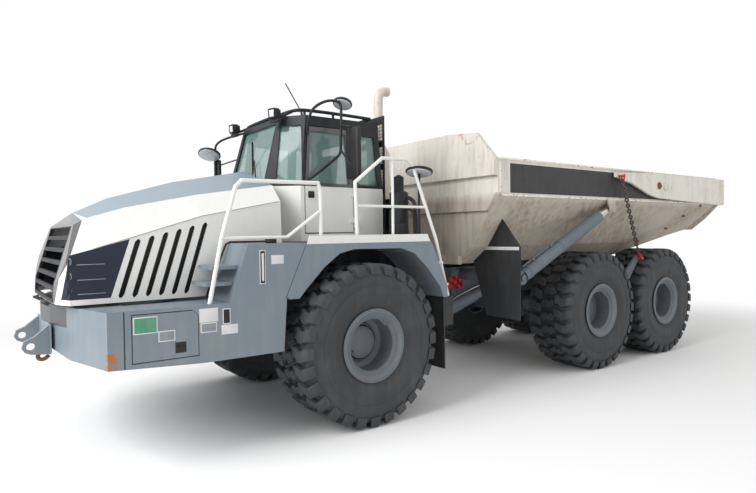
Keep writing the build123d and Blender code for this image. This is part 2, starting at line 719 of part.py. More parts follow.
# Rear frame: a nose that tapers to the hinge, two rails, cross tubes, and the brackets for hoists and chains
nose_plan = [(hitch_x, -150), (1100, -165), (296, -frame_half + 30), (296, frame_half - 30), (1100, 165), (hitch_x, 150)]
nose_top = yoke_top - ear_thickness - ear_gap
nose_bottom = yoke_bottom + ear_thickness + ear_gap
with BuildPart() as rear_frame:
    add(deck_plate(nose_plan, nose_bottom, nose_top))
    with Locations((hitch_x, 0, (nose_top + nose_bottom) / 2)):
        Cylinder(150, nose_top - nose_bottom)
    with Locations((hitch_x, 0, hitch_height)):
        Cylinder(hitch_pin_radius, yoke_top - yoke_bottom + 20)
    add(side_plate([(320, 900), (320, 1640), (-300, 1640), (-300, 1100)], -frame_half + 30, frame_half - 30))
    add(both_sides(side_plate([(320, 920), (320, rear_rail_top), (-4440, rear_rail_top), (-4440, 1400),
                               (-4300, rear_rail_bottom), (-400, rear_rail_bottom)],
                              frame_half - rail_width, frame_half)))
    for x in (-1100, -2720, -4100):
        add(rod((x, -frame_half + 20, 1400), (x, frame_half - 20, 1400), 110))
    # Pads that the body rests on
    for x in (-1400, -2900):
        add(both_sides(block(x - 100, x + 100, frame_half - rail_width + 10, frame_half - 10, rear_rail_top - 10,
                             floor_height - seat_gap)))
    # Hoist feet on a cross tube
    add(rod((hoist_foot_x, -hoist_y + 110, hoist_foot_z), (hoist_foot_x, hoist_y - 110, hoist_foot_z), 90))
    for sign in (1, -1):
        add(rod((hoist_foot_x, sign * (hoist_y - 120), hoist_foot_z), (hoist_foot_x, sign * (hoist_y + 75), hoist_foot_z),
                hoist_pin_radius))
        # Chain anchors
        add(rod((-2720, sign * (frame_half - 30), 1400), (-2720, sign * (chain_foot_y - 10), 1400), 55))
        low, high = sorted((sign * (chain_foot_y - 70), sign * (chain_foot_y - chain_width / 2 - seat_gap)))
        add(side_plate([(-2640, 1360), (-2640, 1450), (chain_foot_x + 30, 1750), (chain_foot_x - 35, 1740),
                        (chain_foot_x - 35, 1690), (-2790, 1360)], low, high))
        # Steering brackets
        low, high = sorted((sign * (frame_half - 30), sign * (steer_y + 90)))
        for z in (steer_rear_z - steer_bracket_gap - 30, steer_rear_z + steer_bracket_gap):
            add(block(steer_rear_x - 70, steer_rear_x + 70, low, high, z, z + 30))
        pin_reach = Vector(0, 0, steer_bracket_gap + 28)
        ball = Vector(steer_rear_x, sign * steer_y, steer_rear_z)
        add(rod(ball - pin_reach, ball + pin_reach, steer_pin_radius))
        with Locations(ball):
            Cylinder(steer_collar_radius, 8)
    with Locations(Plane(origin=(dump_pivot_x, 0, dump_pivot_z), z_dir=(0, 1, 0))):
        Cylinder(dump_pin_radius + dump_pin_clearance, 2000, mode=Mode.SUBTRACT)
save(rear_frame.part, "rear_frame")

# Mid and rear axles, the walking beams between them and the links to the frame
with BuildPart() as drive_axles:
    for x in (mid_axle_x, rear_axle_x):
        add(drive_axle(x))
save(drive_axles.part, "drive_axles")
beam_y = 560
bogie_x = (mid_axle_x + rear_axle_x) / 2
with BuildPart() as walking_beams:
    beam_outline = [(mid_axle_x + 20, 1060), (mid_axle_x + 20, 1150), (bogie_x + 200, 1330), (bogie_x - 200, 1330),
                    (rear_axle_x - 20, 1150), (rear_axle_x - 20, 1060), (bogie_x - 250, 1120), (bogie_x + 250, 1120)]
    add(both_sides(side_plate(beam_outline, beam_y - 60, beam_y + 60)))
    add(both_sides(rod((bogie_x, frame_half + seat_gap, 1250), (bogie_x, beam_y, 1250), 65)))
    add(drive_axles.part, mode=Mode.SUBTRACT)
save(walking_beams.part, "walking_beams")

# Dump body: outlines across it at stations, given as x, floor half and height, knuckle half and height
body_stations = ((body_front_x, floor_half, floor_height, knuckle_half, knuckle_height),
                 (tail_start_x, floor_half, floor_height, knuckle_half, knuckle_height),
                 (tail_bend_x, 970, floor_height + tail_rise, body_half - 70, rail_bottom - 50),
                 (body_tail_x, 1030, floor_height + tail_rise + 100, body_half - 40, rail_bottom - 20))
side_top_half = body_half - 15


def underside(x):
    # Height of the floor's underside along the rising tail
    return floor_height + tail_rise * (tail_start_x - x) / (tail_start_x - tail_bend_x)


def body_loft(inset, extra_front, extra_tail):
    with BuildPart() as solid:
        for i, (x, low_half, low_z, mid_half, mid_z) in enumerate(body_stations):
            place = x + (extra_front if i == 0 else 0) - (extra_tail if i == len(body_stations) - 1 else 0)
            with BuildSketch(Plane.YZ.offset(place)):
                with BuildLine():
                    half = [(0, low_z + inset), (low_half - inset * 0.4, low_z + inset),
                            (mid_half - inset, mid_z + inset * 0.5), (side_top_half - inset, rail_bottom + 10 + inset * 0.2),
                            (side_top_half - inset, rail_top + (inset > 0) * 20), (0, rail_top + (inset > 0) * 20)]
                    Polyline(*half, close=True)
                make_face()
                mirror(about=Plane.YZ)
        loft(ruled=True)
    return solid.part


with BuildPart() as dump_body:
    add(body_loft(0, 0, 0))
    add(body_loft(plate_thickness, -plate_thickness, 30), mode=Mode.SUBTRACT)
    # Box rails along the top, and the folded front beams with the spill guard on them
    add(both_sides(block(body_front_x, body_tail_x, body_half - rail_width_at_top, body_half, rail_bottom, rail_top)))
    beam_top = rail_top - 40
    band_half = body_half - 165
    add(block(body_front_x - 20, guard_x + 34, -body_half, body_half, beam_top - 196, beam_top))
    add(cross_plate([(-band_half, rail_bottom - 200), (band_half, rail_bottom - 200), (body_half, rail_bottom + 35),
                     (-body_half, rail_bottom + 35)], body_front_x - 20, guard_x + 10))
    add(block(body_front_x - 20, guard_x + 10, -floor_half - 130, floor_half + 130, floor_height, floor_height + 120))
    # Spill guard: a panel with a folded flange round it and two ribs
    guard_outline = [(-body_half, rail_top), (-body_half, beam_top), (body_half, beam_top), (body_half, rail_top),
                     (1260, guard_top - 50), (700, guard_top), (-700, guard_top), (-1260, guard_top - 50)]
    add(cross_plate(guard_outline, guard_x - guard_flange, guard_x + 20))
    add(cross_plate(shrink(guard_outline, 12), guard_x - guard_flange - 5, guard_x), mode=Mode.SUBTRACT)
    add(both_sides(block(guard_x - 30, guard_x + 5, 744, 756, beam_top, guard_top - 10)))
    # Hinge ears under the tail
    for sign in (1, -1):
        low, high = sorted((sign * (frame_half + 6), sign * (frame_half + 66)))
        add(side_plate([(dump_pivot_x + 250, underside(dump_pivot_x + 250) + 8),
                        (dump_pivot_x - 200, underside(dump_pivot_x - 200) + 8), (dump_pivot_x - 100, dump_pivot_z - 20),
                        (dump_pivot_x - 50, dump_pivot_z - 90), (dump_pivot_x + 50, dump_pivot_z - 90),
                        (dump_pivot_x + 100, dump_pivot_z - 20)], low, high))
        low, high = sorted((sign * (frame_half - 90), sign * (frame_half + 66)))
        add(rod((dump_pivot_x, low, dump_pivot_z), (dump_pivot_x, high, dump_pivot_z), dump_pin_radius))
        # Ears and pin heads of the hoist cylinders
        low, high = sorted((sign * (hoist_y + hoist_ear_gap), sign * (hoist_y + hoist_ear_gap + 25)))
        add(side_plate([(hoist_top_x - 45, rail_bottom + 5), (hoist_top_x + 150, rail_bottom + 5),
                        (hoist_top_x + 60, hoist_top_z - 70), (hoist_top_x - 60, hoist_top_z - 70)], low, high))
        add(rod((hoist_top_x, sign * (hoist_y + hoist_eye_half + seat_gap), hoist_top_z),
                (hoist_top_x, sign * (hoist_y + hoist_ear_gap + 5), hoist_top_z), hoist_pin_radius))
        add(rod((hoist_top_x, sign * (hoist_y + hoist_ear_gap + 20), hoist_top_z),
                (hoist_top_x, sign * (hoist_y + hoist_ear_gap + 40), hoist_top_z), 55))
        # Pins of the tailgate arms
        add(rod((gate_pivot_x, sign * (body_half - 5), gate_pivot_z),
                (gate_pivot_x, sign * (arm_outer + 25), gate_pivot_z), gate_pin_radius))
save(dump_body.part, "dump_body")

with BuildPart() as body_mudguards:
    flap_outline = [(790, 1765), (1330, 2395), (1680, 1970), (1660, 950), (1040, 970), (820, 1650)]
    add(both_sides(cross_plate(flap_outline, 190, 205)))
    add(body_loft(0, 0, 0), mode=Mode.SUBTRACT)
save(body_mudguards.part, "body_mudguards")

# Tailgate: arms outside the rails, a lever in front of the pivot for the chain, and the gate plate
arm_outline = [(arm_tip_x + 70, rail_top - 70), (arm_tip_x + 70, rail_top - 140), (-2650, rail_top - 230),
               (-3200, rail_bottom + 110), (-3500, rail_bottom + 60), (gate_rear_x, rail_bottom - 20),
               (gate_rear_x, rail_top - 20), (-3500, rail_top - 20), (-2600, rail_top - 50)]
gate_top = rail_top - 20
half_section = [(1090, floor_height + 460), (body_half - 240, rail_bottom - 280), (body_half + 5, rail_bottom - 20),
                (body_half + 5, gate_top - 50)]
gate_section = half_section + [(-y, z) for y, z in reversed(half_section)]
with BuildPart() as tailgate:
    for sign in (1, -1):
        low, high = sorted((sign * arm_inner, sign * arm_outer))
        add(side_plate(arm_outline, low, high))
    add(cross_plate(gate_section, gate_face_x - 40, gate_face_x))
    add(block(gate_rear_x, gate_face_x, -arm_outer, arm_outer, gate_top - 150, gate_top))
    add(both_sides(block(gate_rear_x, gate_face_x, body_half - 40, arm_outer, rail_bottom + 20, gate_top)))
    with Locations(Plane(origin=(gate_pivot_x, 0, gate_pivot_z), z_dir=(0, 1, 0))):
        Cylinder(gate_pin_radius + 0.4, 4000, mode=Mode.SUBTRACT)
save(tailgate.part, "tailgate")

# Chains from the arm tips down to the frame: links by turns across each other, with a shackle pin at each end
for side, sign in sides:
    foot = Vector(chain_foot_x, sign * chain_foot_y, chain_foot_z)
    top = Vector(arm_tip_x, sign * chain_top_y, arm_tip_z - 20)
    way = (top - foot).normalized()
    flat = way.cross(Vector(0, 1, 0)).normalized()
    link_pitch = (top - foot).length / link_count
    link_length = link_pitch + 2 * link_bar - 2
    inner_face = Vector(0, sign * (arm_outer + seat_gap - chain_top_y), 0)
    with BuildPart() as chain:
        for i in range(link_count):
            middle = foot + way * link_pitch * (i + 0.5)
            normal = flat if i % 2 else way.cross(flat)
            with BuildSketch(Plane(origin=middle - normal * link_bar / 2, x_dir=way, z_dir=normal)):
                Rectangle(link_length, link_width)
                Rectangle(link_length - 2 * link_bar, link_width - 2 * link_bar, mode=Mode.SUBTRACT)
            extrude(amount=link_bar)
        add(rod(foot - Vector(0, chain_width / 2, 0), foot + Vector(0, chain_width / 2, 0), shackle_radius))
        add(rod(top + inner_face, top - inner_face, shackle_radius))
    save(chain.part, f"chain_{side}")

# Hoist cylinders: a barrel on its foot pin, one telescoping stage and the rod
hoist_run = Vector(hoist_top_x - hoist_foot_x, 0, hoist_top_z - hoist_foot_z)
hoist_way = hoist_run.normalized()
hoist_length = hoist_run.length
for side, sign in sides:
    foot = Vector(hoist_foot_x, sign * hoist_y, hoist_foot_z)
    top = Vector(hoist_top_x, sign * hoist_y, hoist_top_z)
    eye_axis = Vector(0, 1, 0)
    with BuildPart() as barrel:
        add(rod(foot + hoist_way * 60, foot + hoist_way * (hoist_length - 330), hoist_barrel_radius))
        add(rod(foot - eye_axis * 50, foot + eye_axis * 50, 100))
        add(rod(foot + hoist_way * 150, top, hoist_stage_radius + cylinder_clearance), mode=Mode.SUBTRACT)
        add(rod(foot - eye_axis * 60, foot + eye_axis * 60, hoist_pin_radius + 0.4), mode=Mode.SUBTRACT)
    save(barrel.part, f"hoist_barrel_{side}")
    with BuildPart() as stage:
        add(rod(foot + hoist_way * 160, foot + hoist_way * (hoist_length - 280), hoist_stage_radius))
        add(rod(foot + hoist_way * 200, top, hoist_rod_radius + cylinder_clearance), mode=Mode.SUBTRACT)
    save(stage.part, f"hoist_stage_{side}")
    with BuildPart() as ram:
        add(rod(foot + hoist_way * 210, top - hoist_way * 52, hoist_rod_radius))
        add(rod(top - eye_axis * hoist_eye_half, top + eye_axis * hoist_eye_half, 62))
    save(ram.part, f"hoist_rod_{side}")

# Steering cylinders: the barrel on the rear frame, the rod's eye beside the yoke's arm
for side, sign in sides:
    rear = Vector(steer_rear_x, sign * steer_y, steer_rear_z)
    front = Vector(steer_front_x, sign * steer_y, steer_front_z)
    way = (front - rear).normalized()
    reach = (front - rear).length
    with BuildPart() as barrel:
        add(rod(rear + way * 150, rear + way * (reach - 620), steer_barrel_radius))
        add(rod(rear + way * 48, rear + way * 160, 48))
        add(rod(rear - Vector(0, 0, steer_eye_half), rear + Vector(0, 0, steer_eye_half), 75))
        add(rod(rear + way * 200, front, steer_rod_radius + cylinder_clearance), mode=Mode.SUBTRACT)
        with Locations(rear):
            Cylinder(steer_collar_radius + steer_eye_clearance, 2 * steer_eye_half + 2, mode=Mode.SUBTRACT)
    save(barrel.part, f"steer_barrel_{side}")
    with BuildPart() as ram:
        add(rod(rear + way * steer_rod_start, front, steer_rod_radius))
        eye_foot = Vector(front.X, front.Y, steer_plate_top + seat_gap)
        add(rod(eye_foot, eye_foot + Vector(0, 0, 90), 62))
    save(ram.part, f"steer_rod_{side}")

# Wheels: a tyre with two staggered rows of lugs and a dished rim, turned about the axle line
tyre_profile = [(bead_radius, 300), (tyre_shoulder - 200, tyre_width / 2), (tyre_shoulder, tread_half)]


def lug_row(turn):
    # Outline of one row of lugs, from the root of the tread to the flat tops
    corners = []
    pitch = 2 * pi / lug_count
    foot = lug_foot_share * pitch / 2
    tip = lug_tip_share * pitch / 2
    for i in range(lug_count):
        middle = pitch * (i + turn) - pi / 2
        for angle, radius in ((-foot, tread_root), (-tip, tyre_radius / cos(tip)), (tip, tyre_radius / cos(tip)),
                              (foot, tread_root)):
            corners.append((radius * cos(middle + angle), radius * sin(middle + angle)))
    return corners


with BuildPart() as tyre_blank:
    with BuildSketch(Plane.XY):
        with BuildLine():
            Polyline(*(tyre_profile + [(r, -y) for r, y in reversed(tyre_profile)]), close=True)
        make_face()
    revolve(axis=Axis.Y)
    for turn, low, high in ((0, 0, tread_half), (0.5, -tread_half, 0)):
        with BuildSketch(Plane.XZ.offset(-high)):
            with BuildLine():
                Polyline(*lug_row(turn), close=True)
            make_face()
            Circle(tyre_shoulder - 100, mode=Mode.SUBTRACT)
        extrude(amount=high - low)
with BuildPart() as rim_blank:
    with BuildSketch(Plane.XY):
        with BuildLine():
            Polyline((0, seat_gap - hub_end), (300, seat_gap - hub_end), (300, -290), (bead_radius - seat_gap, -290),
                     (bead_radius - seat_gap, 300), (rim_flange_radius, 350), (380, 365), (305, 300), (295, 60),
                     (hub_radius, 20), (hub_radius - 15, 60), (0, 60), close=True)
        make_face()
    revolve(axis=Axis.Y)
for row, x in (("front", front_axle_x), ("mid", mid_axle_x), ("rear", rear_axle_x)):
    for side, sign in sides:
        spin = 0 if sign > 0 else 180
        with BuildPart() as tyre:
            with Locations((x, sign * wheel_track / 2, axle_height)):
                add(tyre_blank.part, rotation=(0, 0, spin))
        save(tyre.part, f"tyre_{row}_{side}")
        with BuildPart() as rim:
            with Locations((x, sign * wheel_track / 2, axle_height)):
                add(rim_blank.part, rotation=(0, 0, spin))
        save(rim.part, f"rim_{row}_{side}")
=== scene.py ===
import bmesh
import bpy
from math import cos, pi, radians, sin
from mathutils import Matrix, Vector


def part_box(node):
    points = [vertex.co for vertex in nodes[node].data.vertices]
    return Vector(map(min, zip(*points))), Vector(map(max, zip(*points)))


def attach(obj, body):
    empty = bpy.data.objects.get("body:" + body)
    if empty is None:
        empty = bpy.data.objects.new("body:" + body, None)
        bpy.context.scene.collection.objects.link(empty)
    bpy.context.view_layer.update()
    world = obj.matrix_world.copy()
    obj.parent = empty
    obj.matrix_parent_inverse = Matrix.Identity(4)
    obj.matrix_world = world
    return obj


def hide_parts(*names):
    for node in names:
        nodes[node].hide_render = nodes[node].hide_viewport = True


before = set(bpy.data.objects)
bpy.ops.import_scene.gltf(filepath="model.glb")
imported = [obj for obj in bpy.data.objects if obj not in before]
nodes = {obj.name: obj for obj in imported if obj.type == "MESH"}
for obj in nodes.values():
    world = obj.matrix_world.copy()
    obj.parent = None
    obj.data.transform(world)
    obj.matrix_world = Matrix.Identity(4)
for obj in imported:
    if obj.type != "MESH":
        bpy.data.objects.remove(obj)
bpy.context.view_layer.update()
print("frame loaded:", len(nodes), "nodes")


# Camera at the photograph's angle, metres and degrees
view = {
    "place": (6.4818, 6.896, 2.1821),
    "yaw": -126.379,
    "pitch": -1.287,
    "roll": 0.735,
    "lens": 27.447,
}
camData = bpy.data.cameras.new("camera")
camera = bpy.data.objects.new("camera", camData)
bpy.context.scene.collection.objects.link(camera)
camData.lens = view["lens"]
camData.sensor_width = 36
camData.clip_end = 200
yaw, pitch = radians(view["yaw"]), radians(view["pitch"])
ahead = Vector((cos(yaw) * cos(pitch), sin(yaw) * cos(pitch), sin(pitch)))
turn = ahead.to_track_quat("-Z", "Y").to_matrix().to_4x4() @ Matrix.Rotation(-radians(view["roll"]), 4, "Z")
camera.matrix_world = Matrix.Translation(view["place"]) @ turn
bpy.context.scene.camera = camera
bpy.context.scene.view_settings.view_transform = "Standard"

floorLook = {"size": 120, "colour": (0.92, 0.92, 0.92, 1), "fadeFrom": 7.5, "fadeTo": 13.0}
bpy.ops.mesh.primitive_plane_add(size=floorLook["size"], location=(0, 0, -0.002))
floor = bpy.context.object
floor.name = "studio_floor"
floorMat = bpy.data.materials.new("paleFloor")
floorMat.use_nodes = True
floorMat.node_tree.nodes["Principled BSDF"].inputs["Base Color"].default_value = floorLook["colour"]
floorMat.node_tree.nodes["Principled BSDF"].inputs["Roughness"].default_value = 0.9
floor.data.materials.append(floorMat)
ground = floorMat.node_tree
place = ground.nodes.new("ShaderNodeTexCoord")
far = ground.nodes.new("ShaderNodeVectorMath")
far.operation = "LENGTH"
ground.links.new(place.outputs["Object"], far.inputs[0])
fade = ground.nodes.new("ShaderNodeMapRange")
fade.interpolation_type = "SMOOTHSTEP"
fade.inputs["From Min"].default_value = floorLook["fadeFrom"]
fade.inputs["From Max"].default_value = floorLook["fadeTo"]
ground.links.new(far.outputs["Value"], fade.inputs["Value"])


def whiteRays(tree):
    # 1 for the rays that show the background: straight to the camera, mirrored, or through glass
    rays = tree.nodes.new("ShaderNodeLightPath")
    result = rays.outputs["Is Camera Ray"]
    for name in ("Is Glossy Ray", "Is Transmission Ray"):
        either = tree.nodes.new("ShaderNodeMath")
        either.operation = "MAXIMUM"
        tree.links.new(result, either.inputs[0])
        tree.links.new(rays.outputs[name], either.inputs[1])
        result = either.outputs[0]
    return result


both = ground.nodes.new("ShaderNodeMath")
both.operation = "MULTIPLY"
ground.links.new(fade.outputs["Result"], both.inputs[0])
ground.links.new(whiteRays(ground), both.inputs[1])
glow = ground.nodes.new("ShaderNodeEmission")
join = ground.nodes.new("ShaderNodeMixShader")
ground.links.new(both.outputs[0], join.inputs[0])
ground.links.new(ground.nodes["Principled BSDF"].outputs[0], join.inputs[1])
ground.links.new(glow.outputs[0], join.inputs[2])
ground.links.new(join.outputs[0], ground.nodes["Material Output"].inputs["Surface"])

studio = {"worldLight": 0.66, "keyPower": 1850, "keySize": 8, "keyPlace": (14, 1.5, 9),
          "fillPower": 300, "fillSize": 12, "fillPlace": (-5, 12, 8), "aim": (0, 0, 1.2)}
world = bpy.data.worlds.new("studio")
bpy.context.scene.world = world
world.use_nodes = True
sky = world.node_tree
sky.nodes["Background"].inputs["Color"].default_value = (1, 1, 1, 1)
level = sky.nodes.new("ShaderNodeMapRange")
level.inputs["To Min"].default_value = studio["worldLight"]
level.inputs["To Max"].default_value = 1.0
sky.links.new(whiteRays(sky), level.inputs["Value"])
sky.links.new(level.outputs["Result"], sky.nodes["Background"].inputs["Strength"])
for name, place, size, power in (("key", studio["keyPlace"], studio["keySize"], studio["keyPower"]),
                                 ("fill", studio["fillPlace"], studio["fillSize"], studio["fillPower"])):
    lampData = bpy.data.lights.new(name, "AREA")
    lampData.size = size
    lampData.energy = power
    lamp = bpy.data.objects.new(name, lampData)
    bpy.context.scene.collection.objects.link(lamp)
    towards = Vector(studio["aim"]) - Vector(place)
    lamp.matrix_world = Matrix.Translation(place) @ towards.to_track_quat("-Z", "Y").to_matrix().to_4x4()
print("camera, floor and light set")


def paintedBox(tree, split, box):
    # 1 where x, y on either side, and z all lie between the box's limits
    side = tree.nodes.new("ShaderNodeMath")
    side.operation = "ABSOLUTE"
    tree.links.new(split.outputs["Y"], side.inputs[0])
    result = None
    for source, (low, high) in ((split.outputs["X"], box["x"]), (side.outputs[0], box["y"]),
                                (split.outputs["Z"], box["z"])):
        test = tree.nodes.new("ShaderNodeMath")
        test.operation = "COMPARE"
        test.inputs[1].default_value = (low + high) / 2
        test.inputs[2].default_value = (high - low) / 2
        tree.links.new(source, test.inputs[0])
        if result is None:
            result = test.outputs[0]
        else:
            both = tree.nodes.new("ShaderNodeMath")
            both.operation = "MULTIPLY"
            tree.links.new(result, both.inputs[0])
            tree.links.new(test.outputs[0], both.inputs[1])
            result = both.outputs[0]
    return result


def pastPlanes(tree, split, planes):
    # 1 where x plus a share of z passes any of the limits
    result = None
    for share, limit in planes:
        lean = tree.nodes.new("ShaderNodeMath")
        lean.operation = "MULTIPLY_ADD"
        lean.inputs[1].default_value = share
        tree.links.new(split.outputs["Z"], lean.inputs[0])
        tree.links.new(split.outputs["X"], lean.inputs[2])
        test = tree.nodes.new("ShaderNodeMath")
        test.operation = "GREATER_THAN"
        test.inputs[1].default_value = limit
        tree.links.new(lean.outputs[0], test.inputs[0])
        if result is None:
            result = test.outputs[0]
        else:
            either = tree.nodes.new("ShaderNodeMath")
            either.operation = "MAXIMUM"
            tree.links.new(result, either.inputs[0])
            tree.links.new(test.outputs[0], either.inputs[1])
            result = either.outputs[0]
    return result


def dustAndShadePaint(name, settings):
    # Paint with cloudy dirt, rust specks and a fine orange-peel bump, and the dirt colour growing towards the bottom:
    # dirt on most finishes, painted shade with some dirt on the dump body and tailgate
    mat = bpy.data.materials.new(name)
    mat.use_nodes = True
    tree = mat.node_tree
    shader = tree.nodes["Principled BSDF"]
    shader.inputs["Metallic"].default_value = settings.get("metal", 0.0)
    shader.inputs["Coat Weight"].default_value = settings.get("coat", 0.0)
    shader.inputs["Specular IOR Level"].default_value = settings.get("shine", 0.5)
    coords = tree.nodes.new("ShaderNodeTexCoord")

    cloud = tree.nodes.new("ShaderNodeTexNoise")
    cloud.inputs["Scale"].default_value = settings.get("cloudScale", 2.2)
    cloud.inputs["Detail"].default_value = 8
    cloud.inputs["Roughness"].default_value = 0.62
    tree.links.new(coords.outputs["Object"], cloud.inputs["Vector"])

    streakMap = tree.nodes.new("ShaderNodeMapping")
    streakMap.inputs["Scale"].default_value = (9, 9, 1.1)
    tree.links.new(coords.outputs["Object"], streakMap.inputs["Vector"])
    streak = tree.nodes.new("ShaderNodeTexNoise")
    streak.inputs["Scale"].default_value = 1.6
    streak.inputs["Detail"].default_value = 6
    tree.links.new(streakMap.outputs["Vector"], streak.inputs["Vector"])

    split = tree.nodes.new("ShaderNodeSeparateXYZ")
    tree.links.new(coords.outputs["Object"], split.inputs["Vector"])
    # Darker towards the bottom: on the dump body and tailgate this is painted shade below the rails, with some dirt
    height = tree.nodes.new("ShaderNodeMapRange")
    height.inputs["From Min"].default_value = settings.get("dirtAndShadeTop", 2.2)
    height.inputs["From Max"].default_value = settings.get("dirtAndShadeBottom", 0.4)
    tree.links.new(split.outputs["Z"], height.inputs["Value"])

    dirt = tree.nodes.new("ShaderNodeMath")
    dirt.operation = "MULTIPLY"
    tree.links.new(cloud.outputs["Fac"], dirt.inputs[0])
    tree.links.new(streak.outputs["Fac"], dirt.inputs[1])
    dirtRamp = tree.nodes.new("ShaderNodeMapRange")
    dirtRamp.inputs["From Min"].default_value = 0.2
    dirtRamp.inputs["From Max"].default_value = 0.42
    dirtRamp.inputs["To Max"].default_value = settings.get("dirt", 0.3)
    tree.links.new(dirt.outputs[0], dirtRamp.inputs["Value"])
    lowDirtAndShade = tree.nodes.new("ShaderNodeMath")
    lowDirtAndShade.operation = "MULTIPLY_ADD"
    lowDirtAndShade.inputs[1].default_value = settings.get("lowDirtAndShade", 0.0)
    tree.links.new(height.outputs["Result"], lowDirtAndShade.inputs[0])
    tree.links.new(dirtRamp.outputs["Result"], lowDirtAndShade.inputs[2])

    blend = tree.nodes.new("ShaderNodeMix")
    blend.data_type = "RGBA"
    blend.inputs["A"].default_value = (*settings["colour"], 1)
    blend.inputs["B"].default_value = (*settings.get("dirtAndShadeColour", (0.32, 0.28, 0.23)), 1)
    tree.links.new(lowDirtAndShade.outputs[0], blend.inputs["Factor"])

    speck = tree.nodes.new("ShaderNodeTexNoise")
    speck.inputs["Scale"].default_value = 14
    speck.inputs["Detail"].default_value = 12
    speck.inputs["Roughness"].default_value = 0.75
    tree.links.new(coords.outputs["Object"], speck.inputs["Vector"])
    rustRamp = tree.nodes.new("ShaderNodeMapRange")
    rustRamp.inputs["From Min"].default_value = settings.get("rustFrom", 0.95)
    rustRamp.inputs["From Max"].default_value = settings.get("rustFrom", 0.95) + 0.03
    rustRamp.inputs["To Max"].default_value = 0.85
    tree.links.new(speck.outputs["Fac"], rustRamp.inputs["Value"])
    rusty = tree.nodes.new("ShaderNodeMix")
    rusty.data_type = "RGBA"
    rusty.inputs["B"].default_value = (*settings.get("rustColour", (0.16, 0.07, 0.035)), 1)
    tree.links.new(blend.outputs["Result"], rusty.inputs["A"])
    tree.links.new(rustRamp.outputs["Result"], rusty.inputs["Factor"])
    painted = rusty.outputs["Result"]
    for mark in settings.get("marks", ()):
        # Another colour on one area of the object's own coordinates, solid or in patches of the speckle
        area = pastPlanes(tree, split, mark["planes"]) if "planes" in mark else paintedBox(tree, split, mark)
        cover = tree.nodes.new("ShaderNodeMath")
        cover.operation = "MULTIPLY"
        cover.inputs[1].default_value = 0.94
        tree.links.new(area, cover.inputs[0])
        if "patchy" in mark:
            edge = tree.nodes.new("ShaderNodeMapRange")
            edge.inputs["From Min"].default_value = mark["patchy"]
            edge.inputs["From Max"].default_value = mark["patchy"] + 0.04
            tree.links.new(cloud.outputs["Fac"], edge.inputs["Value"])
            tree.links.new(edge.outputs["Result"], cover.inputs[1])
        tones = tree.nodes.new("ShaderNodeMix")
        tones.data_type = "RGBA"
        tones.inputs["B"].default_value = (*mark["colour"], 1)
        tree.links.new(painted, tones.inputs["A"])
        tree.links.new(cover.outputs[0], tones.inputs["Factor"])
        painted = tones.outputs["Result"]
    tree.links.new(painted, shader.inputs["Base Color"])

    rough = tree.nodes.new("ShaderNodeMapRange")
    rough.inputs["To Min"].default_value = settings.get("rough", 0.4)
    rough.inputs["To Max"].default_value = min(1.0, settings.get("rough", 0.4) + 0.35)
    tree.links.new(lowDirtAndShade.outputs[0], rough.inputs["Value"])
    tree.links.new(rough.outputs["Result"], shader.inputs["Roughness"])

    grain = tree.nodes.new("ShaderNodeTexNoise")
    grain.inputs["Scale"].default_value = settings.get("grainScale", 120)
    grain.inputs["Detail"].default_value = 3
    tree.links.new(coords.outputs["Object"], grain.inputs["Vector"])
    bump = tree.nodes.new("ShaderNodeBump")
    bump.inputs["Strength"].default_value = settings.get("grain", 0.06)
    bump.inputs["Distance"].default_value = 0.004
    tree.links.new(grain.outputs["Fac"], bump.inputs["Height"])
    tree.links.new(bump.outputs["Normal"], shader.inputs["Normal"])
    return mat


def tintedGlass(name, colour, alpha, rough, coat=0.6, shine=0.5):
    mat = bpy.data.materials.new(name)
    mat.use_nodes = True
    tree = mat.node_tree
    shader = tree.nodes["Principled BSDF"]
    shader.inputs["Base Color"].default_value = (*colour, 1)
    shader.inputs["Alpha"].default_value = alpha
    shader.inputs["Coat Weight"].default_value = coat
    shader.inputs["Specular IOR Level"].default_value = shine
    coords = tree.nodes.new("ShaderNodeTexCoord")
    film = tree.nodes.new("ShaderNodeTexNoise")
    film.inputs["Scale"].default_value = 3
    film.inputs["Detail"].default_value = 6
    tree.links.new(coords.outputs["Object"], film.inputs["Vector"])
    smear = tree.nodes.new("ShaderNodeMapRange")
    smear.inputs["To Min"].default_value = rough
    smear.inputs["To Max"].default_value = rough + 0.14
    tree.links.new(film.outputs["Fac"], smear.inputs["Value"])
    tree.links.new(smear.outputs["Result"], shader.inputs["Roughness"])
    return mat


